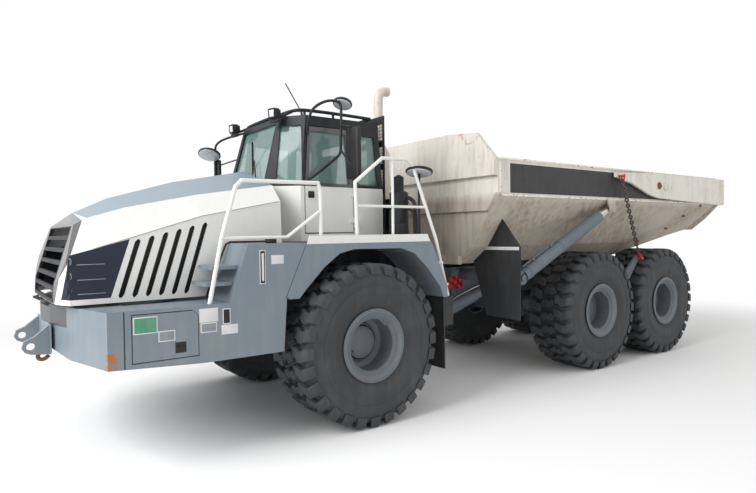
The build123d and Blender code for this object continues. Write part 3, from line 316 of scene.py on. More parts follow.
finishes = {
    "chassisPaint": {"colour": (0.16, 0.2, 0.235), "dirt": 0.22, "lowDirtAndShade": 0.1, "rough": 0.38,
                     "dirtAndShadeColour": (0.34, 0.34, 0.33), "rustFrom": 0.7},
    "bumperPaint": {"colour": (0.16, 0.2, 0.235), "dirt": 0.22, "lowDirtAndShade": 0.1, "rough": 0.38,
                    "dirtAndShadeColour": (0.34, 0.34, 0.33), "rustFrom": 0.7,
                    "marks": [{"colour": (0.06, 0.06, 0.062), "x": (5.6, 6.1), "y": (-1, 0.8), "z": (1.33, 1.7)},
                              {"colour": (0.36, 0.13, 0.04), "x": (5.36, 5.45), "y": (1.42, 1.62), "z": (0.9, 1.17),
                               "patchy": 0.5}]},
    "runningGear": {"colour": (0.1, 0.13, 0.155), "dirt": 0.35, "lowDirtAndShade": 0.2, "rough": 0.5,
                    "dirtAndShadeColour": (0.22, 0.21, 0.19), "rustFrom": 0.69},
    "whitePaint": {"colour": (0.74, 0.74, 0.71), "dirt": 0.12, "lowDirtAndShade": 0.08, "rough": 0.32,
                   "dirtAndShadeColour": (0.46, 0.43, 0.38), "rustFrom": 0.74, "coat": 0.2},
    "hoodPaint": {"colour": (0.71, 0.71, 0.69), "dirt": 0.12, "lowDirtAndShade": 0.08, "rough": 0.32,
                  "dirtAndShadeColour": (0.46, 0.43, 0.38), "rustFrom": 0.76, "coat": 0.2,
                  "marks": [{"colour": (0.075, 0.075, 0.077), "planes": [(0.11, 5.9066), (0.41, 6.45)]}]},
    "doorPaint": {"colour": (0.74, 0.74, 0.71), "dirt": 0.12, "lowDirtAndShade": 0.08, "rough": 0.32,
                  "dirtAndShadeColour": (0.46, 0.43, 0.38), "rustFrom": 0.74, "coat": 0.2,
                  "marks": [{"colour": (0.01, 0.011, 0.013), "x": (0, 9), "y": (-1, 9), "z": (2.76, 9)}]},
    # Below the rails (z 2.74 down to 2.6) the body turns brown: painted shade on the sloping walls, with some dirt
    "creamBody": {"colour": (0.7, 0.665, 0.6), "shine": 0.25, "dirt": 0.42, "lowDirtAndShade": 0.56, "dirtAndShadeTop": 2.74,
                  "dirtAndShadeBottom": 2.6,
                  "rough": 0.55, "cloudScale": 1.2, "dirtAndShadeColour": (0.33, 0.265, 0.205), "rustFrom": 0.64,
                  "marks": [{"colour": (0.006, 0.008, 0.012), "x": (-5.1, 0.315), "y": (1.592, 1.61),
                             "z": (2.72, 3.125)},
                            {"colour": (0.3, 0.16, 0.08), "x": (0.3, 1.2), "y": (-1, 1.7), "z": (3.42, 3.7),
                             "patchy": 0.55}]},
    # Below z 2.75 the tailgate turns brown: painted shade on its lower plates, with some dirt
    "gateCream": {"colour": (0.72, 0.69, 0.63), "dirt": 0.35, "lowDirtAndShade": 0.3, "dirtAndShadeTop": 2.75, "dirtAndShadeBottom": 2.55,
                  "rough": 0.5, "cloudScale": 1.6, "dirtAndShadeColour": (0.36, 0.28, 0.2), "rustFrom": 0.62},
    "redPaint": {"colour": (0.5, 0.025, 0.03), "dirt": 0.3, "rough": 0.45, "rustFrom": 0.7,
                 "dirtAndShadeColour": (0.25, 0.12, 0.1)},
    "plateWhite": {"colour": (0.62, 0.63, 0.63), "dirt": 0.25, "rough": 0.45, "rustFrom": 0.9,
                   "dirtAndShadeColour": (0.45, 0.43, 0.4), "cloudScale": 9},
    "plateGreen": {"colour": (0.06, 0.24, 0.14), "dirt": 0.3, "rough": 0.4, "rustFrom": 0.9,
                   "dirtAndShadeColour": (0.35, 0.5, 0.42), "cloudScale": 12},
    "plateGrey": {"colour": (0.2, 0.24, 0.26), "dirt": 0.4, "rough": 0.4, "rustFrom": 0.9,
                  "dirtAndShadeColour": (0.36, 0.38, 0.38), "cloudScale": 12},
    "rustySteel": {"colour": (0.2, 0.085, 0.04), "dirt": 0.5, "lowDirtAndShade": 0.1, "rough": 0.8, "rustFrom": 0.5,
                   "dirtAndShadeColour": (0.1, 0.06, 0.04), "grain": 0.3, "cloudScale": 12},
    "seamGrey": {"colour": (0.3, 0.3, 0.3), "dirt": 0.2, "rough": 0.6,
                 "dirtAndShadeColour": (0.15, 0.15, 0.15)},
    "darkMesh": {"colour": (0.012, 0.013, 0.014), "dirt": 0.6, "rough": 0.7,
                 "dirtAndShadeColour": (0.05, 0.05, 0.045), "cloudScale": 60, "grain": 1.0, "grainScale": 150},
    "creamEdge": {"colour": (0.75, 0.72, 0.66), "dirt": 0.3, "rough": 0.5, "cloudScale": 3,
                  "dirtAndShadeColour": (0.4, 0.3, 0.2), "rustFrom": 0.57},
    "mirrorGlass": {"colour": (0.55, 0.58, 0.6), "metal": 1.0, "dirt": 0.1, "rough": 0.08,
                    "dirtAndShadeColour": (0.4, 0.42, 0.44), "grain": 0.0},
    "darkLens": {"colour": (0.05, 0.055, 0.065), "dirt": 0.1, "rough": 0.1, "coat": 1.0,
                 "dirtAndShadeColour": (0.2, 0.2, 0.22), "cloudScale": 40},
    "paleMirror": {"colour": (0.5, 0.52, 0.54), "dirt": 0.3, "rough": 0.15, "coat": 0.8,
                   "dirtAndShadeColour": (0.32, 0.34, 0.36), "cloudScale": 6},
    "paleLens": {"colour": (0.6, 0.62, 0.64), "dirt": 0.1, "rough": 0.12, "coat": 1.0,
                 "dirtAndShadeColour": (0.4, 0.42, 0.45), "cloudScale": 30, "grain": 0.4, "grainScale": 160},
    "hoodGrey": {"colour": (0.19, 0.25, 0.3), "dirt": 0.15, "rough": 0.35, "rustFrom": 0.8,
                 "dirtAndShadeColour": (0.4, 0.4, 0.4)},
    "blackPaint": {"colour": (0.01, 0.012, 0.015), "shine": 0.25, "dirt": 0.14, "lowDirtAndShade": 0.08, "rough": 0.45,
                   "dirtAndShadeColour": (0.12, 0.12, 0.12), "rustFrom": 0.78},
    "blackPlastic": {"colour": (0.012, 0.012, 0.013), "shine": 0.3, "dirt": 0.16, "lowDirtAndShade": 0.06, "rough": 0.55,
                     "dirtAndShadeColour": (0.12, 0.12, 0.12), "grain": 0.15, "grainScale": 300},
    "tyreRubber": {"colour": (0.03, 0.033, 0.037), "dirt": 0.45, "lowDirtAndShade": 0.1, "rough": 0.72, "cloudScale": 4,
                   "dirtAndShadeColour": (0.1, 0.1, 0.1), "grain": 0.2, "grainScale": 90},
    "flapRubber": {"colour": (0.014, 0.015, 0.017), "dirt": 0.3, "lowDirtAndShade": 0.15, "rough": 0.65,
                   "dirtAndShadeColour": (0.08, 0.08, 0.08)},
    "bareSteel": {"colour": (0.5, 0.5, 0.48), "metal": 1.0, "dirt": 0.25, "rough": 0.22,
                  "dirtAndShadeColour": (0.2, 0.17, 0.14), "rustFrom": 0.75, "grain": 0.02},
    "stackSteel": {"colour": (0.62, 0.58, 0.52), "dirt": 0.5, "rough": 0.5,
                   "dirtAndShadeColour": (0.35, 0.27, 0.2), "rustFrom": 0.6},
    "castIron": {"colour": (0.06, 0.055, 0.05), "dirt": 0.5, "lowDirtAndShade": 0.1, "rough": 0.6,
                 "dirtAndShadeColour": (0.14, 0.09, 0.06), "rustFrom": 0.6, "grain": 0.3},
    "seatCloth": {"colour": (0.03, 0.03, 0.035), "dirt": 0.2, "rough": 0.9, "grain": 0.4,
                  "grainScale": 500, "dirtAndShadeColour": (0.08, 0.08, 0.08)},
}
materials = {name: dustAndShadePaint(name, settings) for name, settings in finishes.items()}
materials["cabGlass"] = tintedGlass("cabGlass", (0.23, 0.37, 0.34), 0.38, 0.03)
materials["smokedLens"] = tintedGlass("smokedLens", (0.012, 0.018, 0.036), 0.96, 0.1, 0.1, 0.3)

nodeFinish = {
    "bumperPaint": ["front_bumper"],
    "hoodPaint": ["hood_shell"],
    "chassisPaint": ["toolbox_lids", "tow_lugs", "fenders", "side_tanks", "steps"],
    "runningGear": ["front_frame", "front_axle", "front_suspension", "hitch_yoke", "rear_frame", "drive_axles",
                    "walking_beams", "steer_barrel_left", "steer_barrel_right", "hoist_barrel_left",
                    "hoist_barrel_right"] + [f"rim_{row}_{side}" for row in ("front", "mid", "rear")
                                             for side in ("left", "right")],
    "whitePaint": ["cab_shell", "handrails"],
    "doorPaint": ["cab_door"],
    "creamBody": ["dump_body"],
    "gateCream": ["tailgate"],
    "hoodGrey": ["hood_top"],
    "blackPaint": ["cab_frame", "roof_rack", "rear_deck", "cab_mounts", "radiator", "chain_left", "chain_right"],
    "blackPlastic": ["grille", "mirrors", "dashboard"],
    "tyreRubber": [f"tyre_{row}_{side}" for row in ("front", "mid", "rear") for side in ("left", "right")],
    "flapRubber": ["front_mudflaps", "body_mudguards"],
    "bareSteel": ["hoist_stage_left", "hoist_stage_right", "hoist_rod_left", "hoist_rod_right", "steer_rod_left",
                  "steer_rod_right"],
    "stackSteel": ["exhaust"],
    "castIron": ["engine_block"],
    "seatCloth": ["seat"],
    "cabGlass": ["cab_glass", "door_glass"],
    "smokedLens": ["headlamps"],
}
for finish, names in nodeFinish.items():
    for name in names:
        nodes[name].data.materials.clear()
        nodes[name].data.materials.append(materials[finish])
print("materials on", sum(len(names) for names in nodeFinish.values()), "nodes")


# Making pieces: small helpers that work on the piece in hand
def takeUp(piece):
    bpy.ops.object.select_all(action="DESELECT")
    piece.select_set(True)
    bpy.context.view_layer.objects.active = piece


def openMesh(piece, test=None):
    # Goes into edit mode with the faces chosen by a test of their centre and normal, or with all of them
    takeUp(piece)
    bpy.ops.object.mode_set(mode="EDIT")
    bpy.ops.mesh.select_mode(type="FACE")
    bpy.ops.mesh.select_all(action="SELECT" if test is None else "DESELECT")
    if test is not None:
        shape = bmesh.from_edit_mesh(piece.data)
        for face in shape.faces:
            face.select_set(test(face.calc_center_median(), face.normal))
        bmesh.update_edit_mesh(piece.data)


def closeMesh():
    bpy.ops.object.mode_set(mode="OBJECT")


def setDown(piece):
    # Puts the place, turn and size of the object into its mesh
    takeUp(piece)
    bpy.ops.object.transform_apply(location=True, rotation=True, scale=True)


def roundEdges(piece, width, segments=2, angle=30):
    takeUp(piece)
    bevel = piece.modifiers.new("roundEdges", "BEVEL")
    bevel.width = width
    bevel.segments = segments
    bevel.limit_method = "ANGLE"
    bevel.angle_limit = radians(angle)
    bpy.ops.object.modifier_apply(modifier=bevel.name)


def slab(low, high, edge=0.004, segments=2):
    # A block between two corners with its edges rounded
    middle = [(a + b) / 2 for a, b in zip(low, high)]
    bpy.ops.mesh.primitive_cube_add(size=1, location=middle)
    piece = bpy.context.object
    piece.scale = [abs(b - a) for a, b in zip(low, high)]
    setDown(piece)
    roundEdges(piece, edge, segments)
    return piece


def disc(place, facing, radius, depth, edge=0.003, sides=32):
    # A short round bar that faces a way, with its rims rounded
    turn = Vector(facing).to_track_quat("Z", "Y").to_euler()
    bpy.ops.mesh.primitive_cylinder_add(vertices=sides, radius=radius, depth=depth, location=place, rotation=turn)
    piece = bpy.context.object
    setDown(piece)
    roundEdges(piece, edge, 2)
    return piece


def cutPlate(outline, start, depth, across="y", edge=0.003):
    # A plate drawn point by point in one plane, then extruded
    bpy.ops.mesh.primitive_circle_add(vertices=len(outline), fill_type="NGON")
    piece = bpy.context.object
    for point, (u, w) in zip(piece.data.vertices, outline):
        point.co = (u, start, w) if across == "y" else (start, u, w)
    openMesh(piece)
    step = (0, depth, 0) if across == "y" else (depth, 0, 0)
    bpy.ops.mesh.extrude_region_move(TRANSFORM_OT_translate={"value": step})
    bpy.ops.mesh.select_all(action="SELECT")
    bpy.ops.mesh.normals_make_consistent(inside=False)
    closeMesh()
    roundEdges(piece, edge, 2)
    return piece


def bentPipe(points, radius, smooth=False, sides=4):
    # A pipe along points, with round corners when it is smooth
    line = bpy.data.curves.new("pipe", "CURVE")
    line.dimensions = "3D"
    line.bevel_depth = radius
    line.bevel_resolution = sides
    line.use_fill_caps = True
    run = line.splines.new("NURBS" if smooth else "POLY")
    run.points.add(len(points) - 1)
    for spot, place in zip(run.points, points):
        spot.co = (*place, 1)
    if smooth:
        run.order_u = 3
        run.use_endpoint_u = True
        line.resolution_u = 8
    piece = bpy.data.objects.new("pipe", line)
    bpy.context.scene.collection.objects.link(piece)
    takeUp(piece)
    bpy.ops.object.convert(target="MESH")
    return bpy.context.object


def merge(pieces):
    takeUp(pieces[0])
    for piece in pieces[1:]:
        piece.select_set(True)
    if len(pieces) > 1:
        bpy.ops.object.join()
    return bpy.context.object


def twin(piece):
    takeUp(piece)
    bpy.ops.object.duplicate(linked=False)
    return bpy.context.object


def mirrored(piece):
    # The same piece on the truck's other side, with its faces turned outwards again
    other = twin(piece)
    other.scale.y = -1
    setDown(other)
    openMesh(other)
    bpy.ops.mesh.normals_make_consistent(inside=False)
    closeMesh()
    return other


def spinCopies(piece, count, axis=(0, 1, 0)):
    # Copies all of the mesh evenly round the origin
    openMesh(piece)
    bpy.ops.mesh.spin(steps=count - 1, dupli=True, angle=2 * pi * (count - 1) / count, center=(0, 0, 0), axis=axis)
    closeMesh()


def handOver(piece, name, body, finish, smoothAngle=35, standsFor=()):
    # Names a finished piece, gives it its finish and hands it to the body it rides on
    setDown(piece)
    bpy.ops.object.shade_smooth_by_angle(angle=radians(smoothAngle))
    piece.name = name
    piece.data.name = name
    piece.data.materials.clear()
    piece.data.materials.append(materials[finish])
    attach(piece, body)
    for node in standsFor:
        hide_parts(node)
    return piece


sides = {"left": 1, "right": -1}
wheelPlaces = {}
for row in ("front", "mid", "rear"):
    for side in sides:
        low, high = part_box(f"tyre_{row}_{side}")
        wheelPlaces[f"{row}_{side}"] = [(a + b) / 2 for a, b in zip(low, high)]

# Tyres: a carcass with stepped walls, two rows of shoulder lugs that curve over the edge, and blocks between them
tyreLook = {"ring": 84, "treadRadius": 0.864, "treadHalf": 0.325, "top": 0.925, "lugs": 28, "lugWidth": 0.128,
            "lugDepth": 0.08, "lugEdge": 0.009,
            "wallSteps": ((0.014, 0.02), (0.06, 0.022), (0.1, 0.006), (0.014, -0.006), (0.014, 0.006), (0.13, -0.01),
                          (0.012, -0.008), (0.095, -0.022), (0.094, -0.033)),
            "lugSteps": ((0.034, 0.055, 0.0), (0.006, 0.05, 0.0), (-0.028, 0.06, -0.003), (-0.006, 0.036, -0.05))}


def handPair(piece, name, body, finish):
    # Hands over a left piece and its mirror image on the right
    handOver(mirrored(piece), f"{name}_right", body, finish)
    handOver(piece, f"{name}_left", body, finish)


def buildTyre():
    look = tyreLook
    bpy.ops.mesh.primitive_cylinder_add(vertices=look["ring"], radius=look["treadRadius"],
                                        depth=2 * look["treadHalf"], end_fill_type="NGON",
                                        rotation=(radians(90), 0, 0))
    carcass = bpy.context.object
    setDown(carcass)
    openMesh(carcass, lambda centre, normal: abs(normal.y) > 0.9)
    for inwards, outwards in look["wallSteps"]:
        bpy.ops.mesh.inset(thickness=inwards, depth=outwards)
    bpy.ops.mesh.delete(type="FACE")
    bpy.ops.mesh.select_mode(type="EDGE")
    bpy.ops.mesh.select_non_manifold()
    bpy.ops.mesh.bridge_edge_loops()
    closeMesh()

    def block(place, size, turn=0.0):
        bpy.ops.mesh.primitive_cube_add(size=1, location=place, rotation=(0, 0, turn))
        piece = bpy.context.object
        piece.scale = size
        setDown(piece)
        return piece

    lugMiddle = look["top"] - look["lugDepth"] / 2
    lug = block((-0.02, 0.15, lugMiddle), (look["lugWidth"], 0.06, look["lugDepth"]))
    openMesh(lug, lambda centre, normal: normal.y > 0.9)
    for step in look["lugSteps"]:
        bpy.ops.mesh.extrude_region_move(TRANSFORM_OT_translate={"value": step})
    closeMesh()
    roundEdges(lug, look["lugEdge"], 1)
    otherLug = twin(lug)
    otherLug.rotation_euler = (0, pi / look["lugs"], pi)
    setDown(otherLug)
    centre = block((0, 0.052, lugMiddle), (0.105, 0.12, look["lugDepth"] - 0.004), radians(24))
    roundEdges(centre, look["lugEdge"], 1)
    centre.rotation_euler = (0, pi / look["lugs"] * 0.5, 0)
    setDown(centre)
    otherCentre = twin(centre)
    otherCentre.rotation_euler = (0, pi / look["lugs"], pi)
    setDown(otherCentre)
    lugs = merge([lug, otherLug, centre, otherCentre])
    spinCopies(lugs, look["lugs"])
    return merge([carcass, lugs])


# Wheel trim: the hub's cap and its ring of bolts, the lock ring, and the valve under its guard
trimLook = {"capRadius": 0.186, "capFace": 0.085, "boltRing": 0.214, "bolts": 36, "lockRing": 0.408,
            "beadRing": 0.335, "valveTurn": 35}


def buildTrim():
    look = trimLook
    bpy.ops.mesh.primitive_cylinder_add(vertices=56, radius=look["capRadius"], depth=0.06,
                                        location=(0, look["capFace"] - 0.03, 0), rotation=(radians(90), 0, 0))
    cap = bpy.context.object
    setDown(cap)
    openMesh(cap, lambda centre, normal: normal.y > 0.9)
    bpy.ops.mesh.inset(thickness=0.018, depth=0.0)
    bpy.ops.mesh.inset(thickness=0.006, depth=0.006)
    closeMesh()
    roundEdges(cap, 0.006, 2)
    plug = disc((0.12, look["capFace"] + 0.012, -0.09), (0, 1, 0), 0.016, 0.018, sides=6)
    bolt = disc((0, 0.046, look["boltRing"]), (0, 1, 0), 0.0115, 0.036, edge=0.002, sides=6)
    washer = disc((0, 0.034, look["boltRing"]), (0, 1, 0), 0.015, 0.018, edge=0.002, sides=12)
    bolts = merge([bolt, washer])
    spinCopies(bolts, look["bolts"])
    rings = []
    for radius, depth, thick in ((look["lockRing"], 0.352, 0.009), (look["beadRing"], 0.326, 0.008),
                                 (0.3, 0.292, 0.007)):
        bpy.ops.mesh.primitive_torus_add(major_segments=72, minor_segments=8, major_radius=radius, minor_radius=thick,
                                         location=(0, depth, 0), rotation=(radians(90), 0, 0))
        rings.append(bpy.context.object)
    turn = radians(look["valveTurn"])
    guard = slab((-0.055, 0.25, 0.28), (0.055, 0.30, 0.302), 0.006)
    stem = disc((0, 0.29, 0.27), (0, 1, 0), 0.008, 0.07, sides=12)
    valve = merge([guard, stem])
    valve.rotation_euler = (0, -turn, 0)
    setDown(valve)
    return merge([cap, plug, bolts, *rings, valve])


tyreModel = buildTyre()
trimModel = buildTrim()
for wheel, place in wheelPlaces.items():
    for model, name, finish, slotName, node in ((tyreModel, "road_tyre", "tyreRubber", "tyre", "tyre"),
                                                (trimModel, "wheel_trim", "runningGear", "chassis_paint", None)):
        piece = twin(model)
        if wheel.endswith("right"):
            piece.rotation_euler = (0, 0, pi)
        piece.location = place
        handOver(piece, f"{name}_{wheel}", f"wheel_{wheel}", finish, 38,
                 (f"{node}_{wheel}",) if node else ())
for model in (tyreModel, trimModel):
    takeUp(model)
    bpy.ops.object.delete()
print("tyres and wheel trim on", len(wheelPlaces), "wheels")

# Hood: seam along the crease, lamp rings and bright ribs
hoodLook = {"crease": ((5.43, 2.073), (5.11, 2.17), (4.4, 2.388), (3.52, 2.558)), "creaseSide": 1.001,
            "lampPlace": (5.635, 1.0), "lampHeights": (1.69, 1.826, 1.96), "ringRadius": 0.034,
            "ribHeights": (1.66, 1.79, 1.93), "ribRun": (5.34, 5.58)}
seam = bentPipe([(x, hoodLook["creaseSide"], z) for x, z in hoodLook["crease"]], 0.0035, sides=2)
handPair(seam, "hood_seam", "hood", "seamGrey")
facing = Vector((0.894, 0.447, 0))
rings, lenses = [], []
for z in hoodLook["lampHeights"]:
    centre = Vector((*hoodLook["lampPlace"], z))
    bpy.ops.mesh.primitive_torus_add(major_segments=40, minor_segments=8, major_radius=hoodLook["ringRadius"],
                                     minor_radius=0.003, location=centre + facing * 0.006,
                                     rotation=facing.to_track_quat("Z", "Y").to_euler())
    setDown(bpy.context.object)
    rings.append(bpy.context.object)
    lenses.append(disc(centre + facing * 0.005, facing, hoodLook["ringRadius"] - 0.008, 0.012, 0.004))
for z in hoodLook["ribHeights"]:
    skin = 1.05 - 0.05 * (z - 1.56) / 0.51
    ribRear, ribFront = hoodLook["ribRun"]
    rings.append(slab((ribRear, skin + 0.001, z - 0.004), (ribFront, skin + 0.008, z + 0.004), 0.002))
rings = merge(rings)
lenses = merge(lenses)
for piece, name, finish in ((rings, "lamp_rings", "plateGrey"), (lenses, "lamp_lenses", "darkLens")):
    handPair(piece, name, "hood", finish)

# Dark mesh inside the cooling slots
for side, sign in sides.items():
    backing = cutPlate([(5.34, 1.6), (5.2, 2.12), (4.3, 2.33), (4.48, 1.6)], sign * 0.965, sign * -0.006)
    openMesh(backing)
    bpy.ops.mesh.normals_make_consistent(inside=False)
    closeMesh()
    handOver(backing, f"slot_mesh_{side}", "hood", "darkMesh")
print("hood dressed")

# Bumper: seams, blank plates, the latch of the toolbox lid and the rusty tow hook
bumperLook = {"face": 1.55, "seam": (5.302, 1.02, 1.525)}
plates = {
    "green": ("plateGreen", 5.02, 5.229, 1.315, 1.467), "grey": ("plateGrey", 4.865, 5.015, 1.227, 1.326),
    "white_one": ("plateWhite", 4.456, 4.639, 1.362, 1.494), "grey_two": ("plateGrey", 4.469, 4.629, 1.265, 1.358),
    "dark": ("blackPlastic", 4.331, 4.411, 1.327, 1.478), "white_two": ("plateWhite", 4.258, 4.425, 1.228, 1.32),
}
for name, (finish, x0, x1, z0, z1) in plates.items():
    face = bumperLook["face"] + (0.004 if x1 > 4.7 else 0.0)
    rim = slab((x0, face - 0.001, z0), (x1, face + 0.002, z1), 0.0008)
    handOver(rim, f"plate_rim_{name}", "front", "plateWhite")
    field = slab((x0 + 0.009, face, z0 + 0.009), (x1 - 0.009, face + 0.003, z1 - 0.009), 0.0008)
    handOver(field, f"plate_{name}", "front", finish)
seamX, seamLow, seamHigh = bumperLook["seam"]
seams = [slab((seamX - 0.005, 1.545, seamLow), (seamX + 0.005, 1.5515, seamHigh), 0.001)]
for x0, x1, z0, z1 in ((4.646, 5.241, 1.055, 1.061), (4.7, 5.241, 1.488, 1.494), (5.236, 5.243, 1.055, 1.494),
                       (4.644, 4.65, 1.055, 1.44)):
    seams.append(slab((x0, 1.545, z0), (x1, 1.5512, z1), 0.001))
seams = merge(seams)
handPair(seams, "bumper_seams", "front", "blackPlastic")
latch = slab((4.766, 1.55, 1.108), (4.866, 1.558, 1.208), 0.004)
openMesh(latch, lambda centre, normal: normal.y > 0.9 and centre.y > 1.557)
bpy.ops.mesh.inset(thickness=0.014, depth=-0.003)
closeMesh()
handle = merge([latch, slab((4.79, 1.552, 1.15), (4.842, 1.568, 1.166), 0.004),
                disc((4.816, 1.556, 1.18), (0, 1, 0), 0.012, 0.02)])
handPair(handle, "lid_latch", "front", "blackPlastic")
hook = bentPipe([(5.82, 0.425, 1.075), (5.855, 0.425, 1.03), (5.83, 0.425, 0.995), (5.78, 0.425, 0.995),
                 (5.75, 0.425, 1.03)], 0.019, smooth=True)
handOver(hook, "tow_hook", "front", "rustySteel")
print("bumper dressed")

# Tank: sight gauge, its plate, the seal line against the hood, and the lid on top
tankLook = {"face": 1.55, "gauge": (3.955, 4.02, 1.69, 2.03)}
x0, x1, z0, z1 = tankLook["gauge"]
face = tankLook["face"]
for name, inset, depth, finish in (("rim", 0.0, 0.006, "plateWhite"), ("back", 0.008, 0.008, "blackPlastic"),
                                   ("tube", 0.022, 0.016, "plateWhite")):
    end = 0.03 if name == "tube" else inset
    piece = slab((x0 + inset, face - 0.001, z0 + end), (x1 - inset, face + depth, z1 - end), 0.002)
    handOver(piece, f"sight_{name}", "front", finish)
plate = slab((3.75, face - 0.001, 1.885), (3.89, face + 0.002, 1.975), 0.001)
handOver(plate, "tank_plate", "front", "plateWhite")
sealRun = ((4.4, 1.54), (4.345, 1.68), (4.175, 2.09), (4.13, 2.112), (3.6, 2.112))
seal = bentPipe([(x, 1.066, z) for x, z in sealRun], 0.011)
handPair(seal, "hood_seal", "front", "blackPlastic")
cap = merge([disc((3.8, 1.36, 2.12), (0, 0, 1), 0.06, 0.05, 0.008),
             disc((3.8, 1.36, 2.15), (0, 0, 1), 0.03, 0.02, 0.004, 6)])
handOver(cap, "tank_cap", "front", "blackPlastic")
print("tanks dressed")

# Cab: roof guard with lamps, mirrors on their hoops, wiper, aerial, door handle and the wire screen
cabLook = {"loopHeight": 3.68, "loopSide": 0.74, "loopFront": 3.12, "loopRear": 2.05, "tube": 0.021}


def lamp(place, aim):
    # A square work lamp: body with cooling fins, bezel and pale lens
    body = slab((-0.05, -0.056, -0.06), (0.045, 0.056, 0.06), 0.012)
    openMesh(body, lambda centre, normal: normal.x > 0.9 and centre.x > 0.04)
    bpy.ops.mesh.inset(thickness=0.016, depth=-0.012)
    closeMesh()
    fins = [slab((-0.075, y - 0.003, -0.045), (-0.045, y + 0.003, 0.045), 0.001)
            for y in (-0.04, -0.02, 0, 0.02, 0.04)]
    stem = slab((-0.02, -0.075, -0.11), (0.01, 0.075, -0.06), 0.004)
    body = merge([body, *fins, stem])
    lens = slab((0.03, -0.036, -0.04), (0.04, 0.036, 0.04), 0.004)
    for piece in (body, lens):
        piece.rotation_euler = (0, radians(4), aim)
        piece.location = place
        setDown(piece)
    return body, lens


side, front, rear, top = cabLook["loopSide"], cabLook["loopFront"], cabLook["loopRear"], cabLook["loopHeight"]
half = [(rear, side, top), (2.4, side, top + 0.01), (front - 0.12, side, top + 0.01), (front, side - 0.03, top),
        (front + 0.03, side - 0.14, top)]
otherHalf = [(x, -y, z) for x, y, z in reversed(half)]
tubes = [bentPipe([*half, (front + 0.05, 0, top), *otherHalf], cabLook["tube"], smooth=True),
         bentPipe([(rear, -side, top), (rear, side, top)], cabLook["tube"] * 0.8)]
for x, y in ((2.15, side - 0.005), (2.62, side), (front - 0.1, side - 0.01)):
    for sign in (1, -1):
        tubes.append(bentPipe([(x, sign * y, 3.61), (x, sign * y, top)], 0.016))
for sign in (1, -1):
    stay = [(front, sign * 0.6, top), (3.3, sign * 0.61, 3.585), (3.36, sign * 0.61, 3.575)]
    tubes.append(bentPipe(stay, 0.016, smooth=True))
handOver(merge(tubes), "roof_guard", "front", "blackPaint", standsFor=("roof_rack",))
for name, y, aim in (("left", 0.61, 0.3), ("right", -0.61, 0.12)):
    body, lens = lamp((3.37, y, 3.63), aim)
    handOver(body, f"work_lamp_{name}", "front", "blackPlastic")
    handOver(lens, f"work_lens_{name}", "front", "paleLens")

# The left mirror's hoop stands on the door and swings with it
hoop = bentPipe([(3.03, 0.812, 3.38), (3.06, 0.87, 3.5), (3.02, 0.91, 3.68), (2.84, 0.95, 3.79), (2.68, 0.985, 3.79),
                 (2.66, 1.0, 3.7), (2.68, 1.0, 3.3), (2.68, 1.0, 3.16), (2.74, 0.99, 3.1), (2.98, 0.93, 2.9),
                 (3.05, 0.87, 2.84)], 0.017, smooth=True)
arm = bentPipe([(2.68, 1.0, 3.5), (2.62, 1.14, 3.46)], 0.012)
lowArm = bentPipe([(2.68, 1.0, 3.2), (2.62, 1.14, 3.0)], 0.012)
shell = slab((2.56, 1.02, 2.84), (2.63, 1.28, 3.46), 0.03, 3)
openMesh(shell, lambda centre, normal: normal.x < -0.9)
bpy.ops.mesh.inset(thickness=0.012, depth=-0.008)
closeMesh()
wide = disc((2.6, 0.93, 3.78), (0.35, 0.25, -0.9), 0.12, 0.035, 0.012, 40)
wideGlass = disc((2.606, 0.935, 3.765), (0.35, 0.25, -0.9), 0.108, 0.012, 0.004, 40)
handOver(wideGlass, "roof_mirror_glass", "cab_door", "paleMirror")
handOver(merge([hoop, arm, lowArm, shell, wide]), "mirror_left", "cab_door", "blackPlastic")
glass = slab((2.556, 1.05, 2.87), (2.562, 1.25, 3.43), 0.002)
handOver(glass, "mirror_glass_left", "cab_door", "mirrorGlass")
rightHoop = bentPipe([(3.18, -0.62, 3.6), (3.3, -1.1, 3.58), (3.33, -1.36, 3.53), (3.33, -1.42, 3.46),
                      (3.33, -1.42, 3.1), (3.33, -1.42, 2.86)], 0.016, smooth=True)
brace = bentPipe([(3.1, -0.76, 3.3), (3.33, -1.42, 3.2)], 0.01)
brace2 = bentPipe([(3.22, -0.7, 2.9), (3.33, -1.42, 3.02)], 0.01)
rightShell = slab((3.27, -1.53, 2.92), (3.315, -1.33, 3.3), 0.018, 3)
bowl = disc((3.46, -1.3, 3.36), (0.3, 0.36, -0.95), 0.16, 0.04, 0.016, 40)
bowlArm = bentPipe([(3.33, -1.42, 3.3), (3.4, -1.4, 3.38), (3.46, -1.32, 3.38)], 0.014, smooth=True)
handOver(merge([rightHoop, brace, brace2, rightShell, bowl, bowlArm]), "mirror_right", "front", "blackPlastic",
         standsFor=("mirrors",))
rightGlass = slab((3.264, -1.51, 2.94), (3.272, -1.35, 3.28), 0.002)
bowlGlass = disc((3.468, -1.289, 3.344), (0.3, 0.36, -0.95), 0.145, 0.012, 0.004, 40)
handOver(merge([rightGlass, bowlGlass]), "mirror_glass_right", "front", "paleMirror")
rearPost = bentPipe([(1.84, 1.46, 2.08), (1.84, 1.46, 2.6), (1.835, 1.46, 2.8), (1.83, 1.46, 2.92)], 0.016,
                    smooth=True)
rearBowl = disc((1.83, 1.46, 2.94), (0.2, 0.16, -1), 0.17, 0.04, 0.016, 40)
rearGlass = disc((1.838, 1.464, 2.92), (0.2, 0.16, -1), 0.155, 0.012, 0.004, 40)
handOver(rearGlass, "deck_mirror_glass", "front", "paleMirror")
handOver(merge([rearPost, rearBowl]), "deck_mirror", "front", "blackPlastic")

aerial = merge([bentPipe([(2.86, 0.4, 3.6), (2.88, 0.4, 3.75)], 0.014),
                bentPipe([(2.88, 0.4, 3.74), (3.1, 0.4, 4.07)], 0.007)])
handOver(aerial, "aerial", "front", "blackPlastic")


def glassX(z, out=0.015):
    # How far forward the windscreen stands at a height
    return 3.48 - 0.23 * (z - 2.76) / 0.86 + out


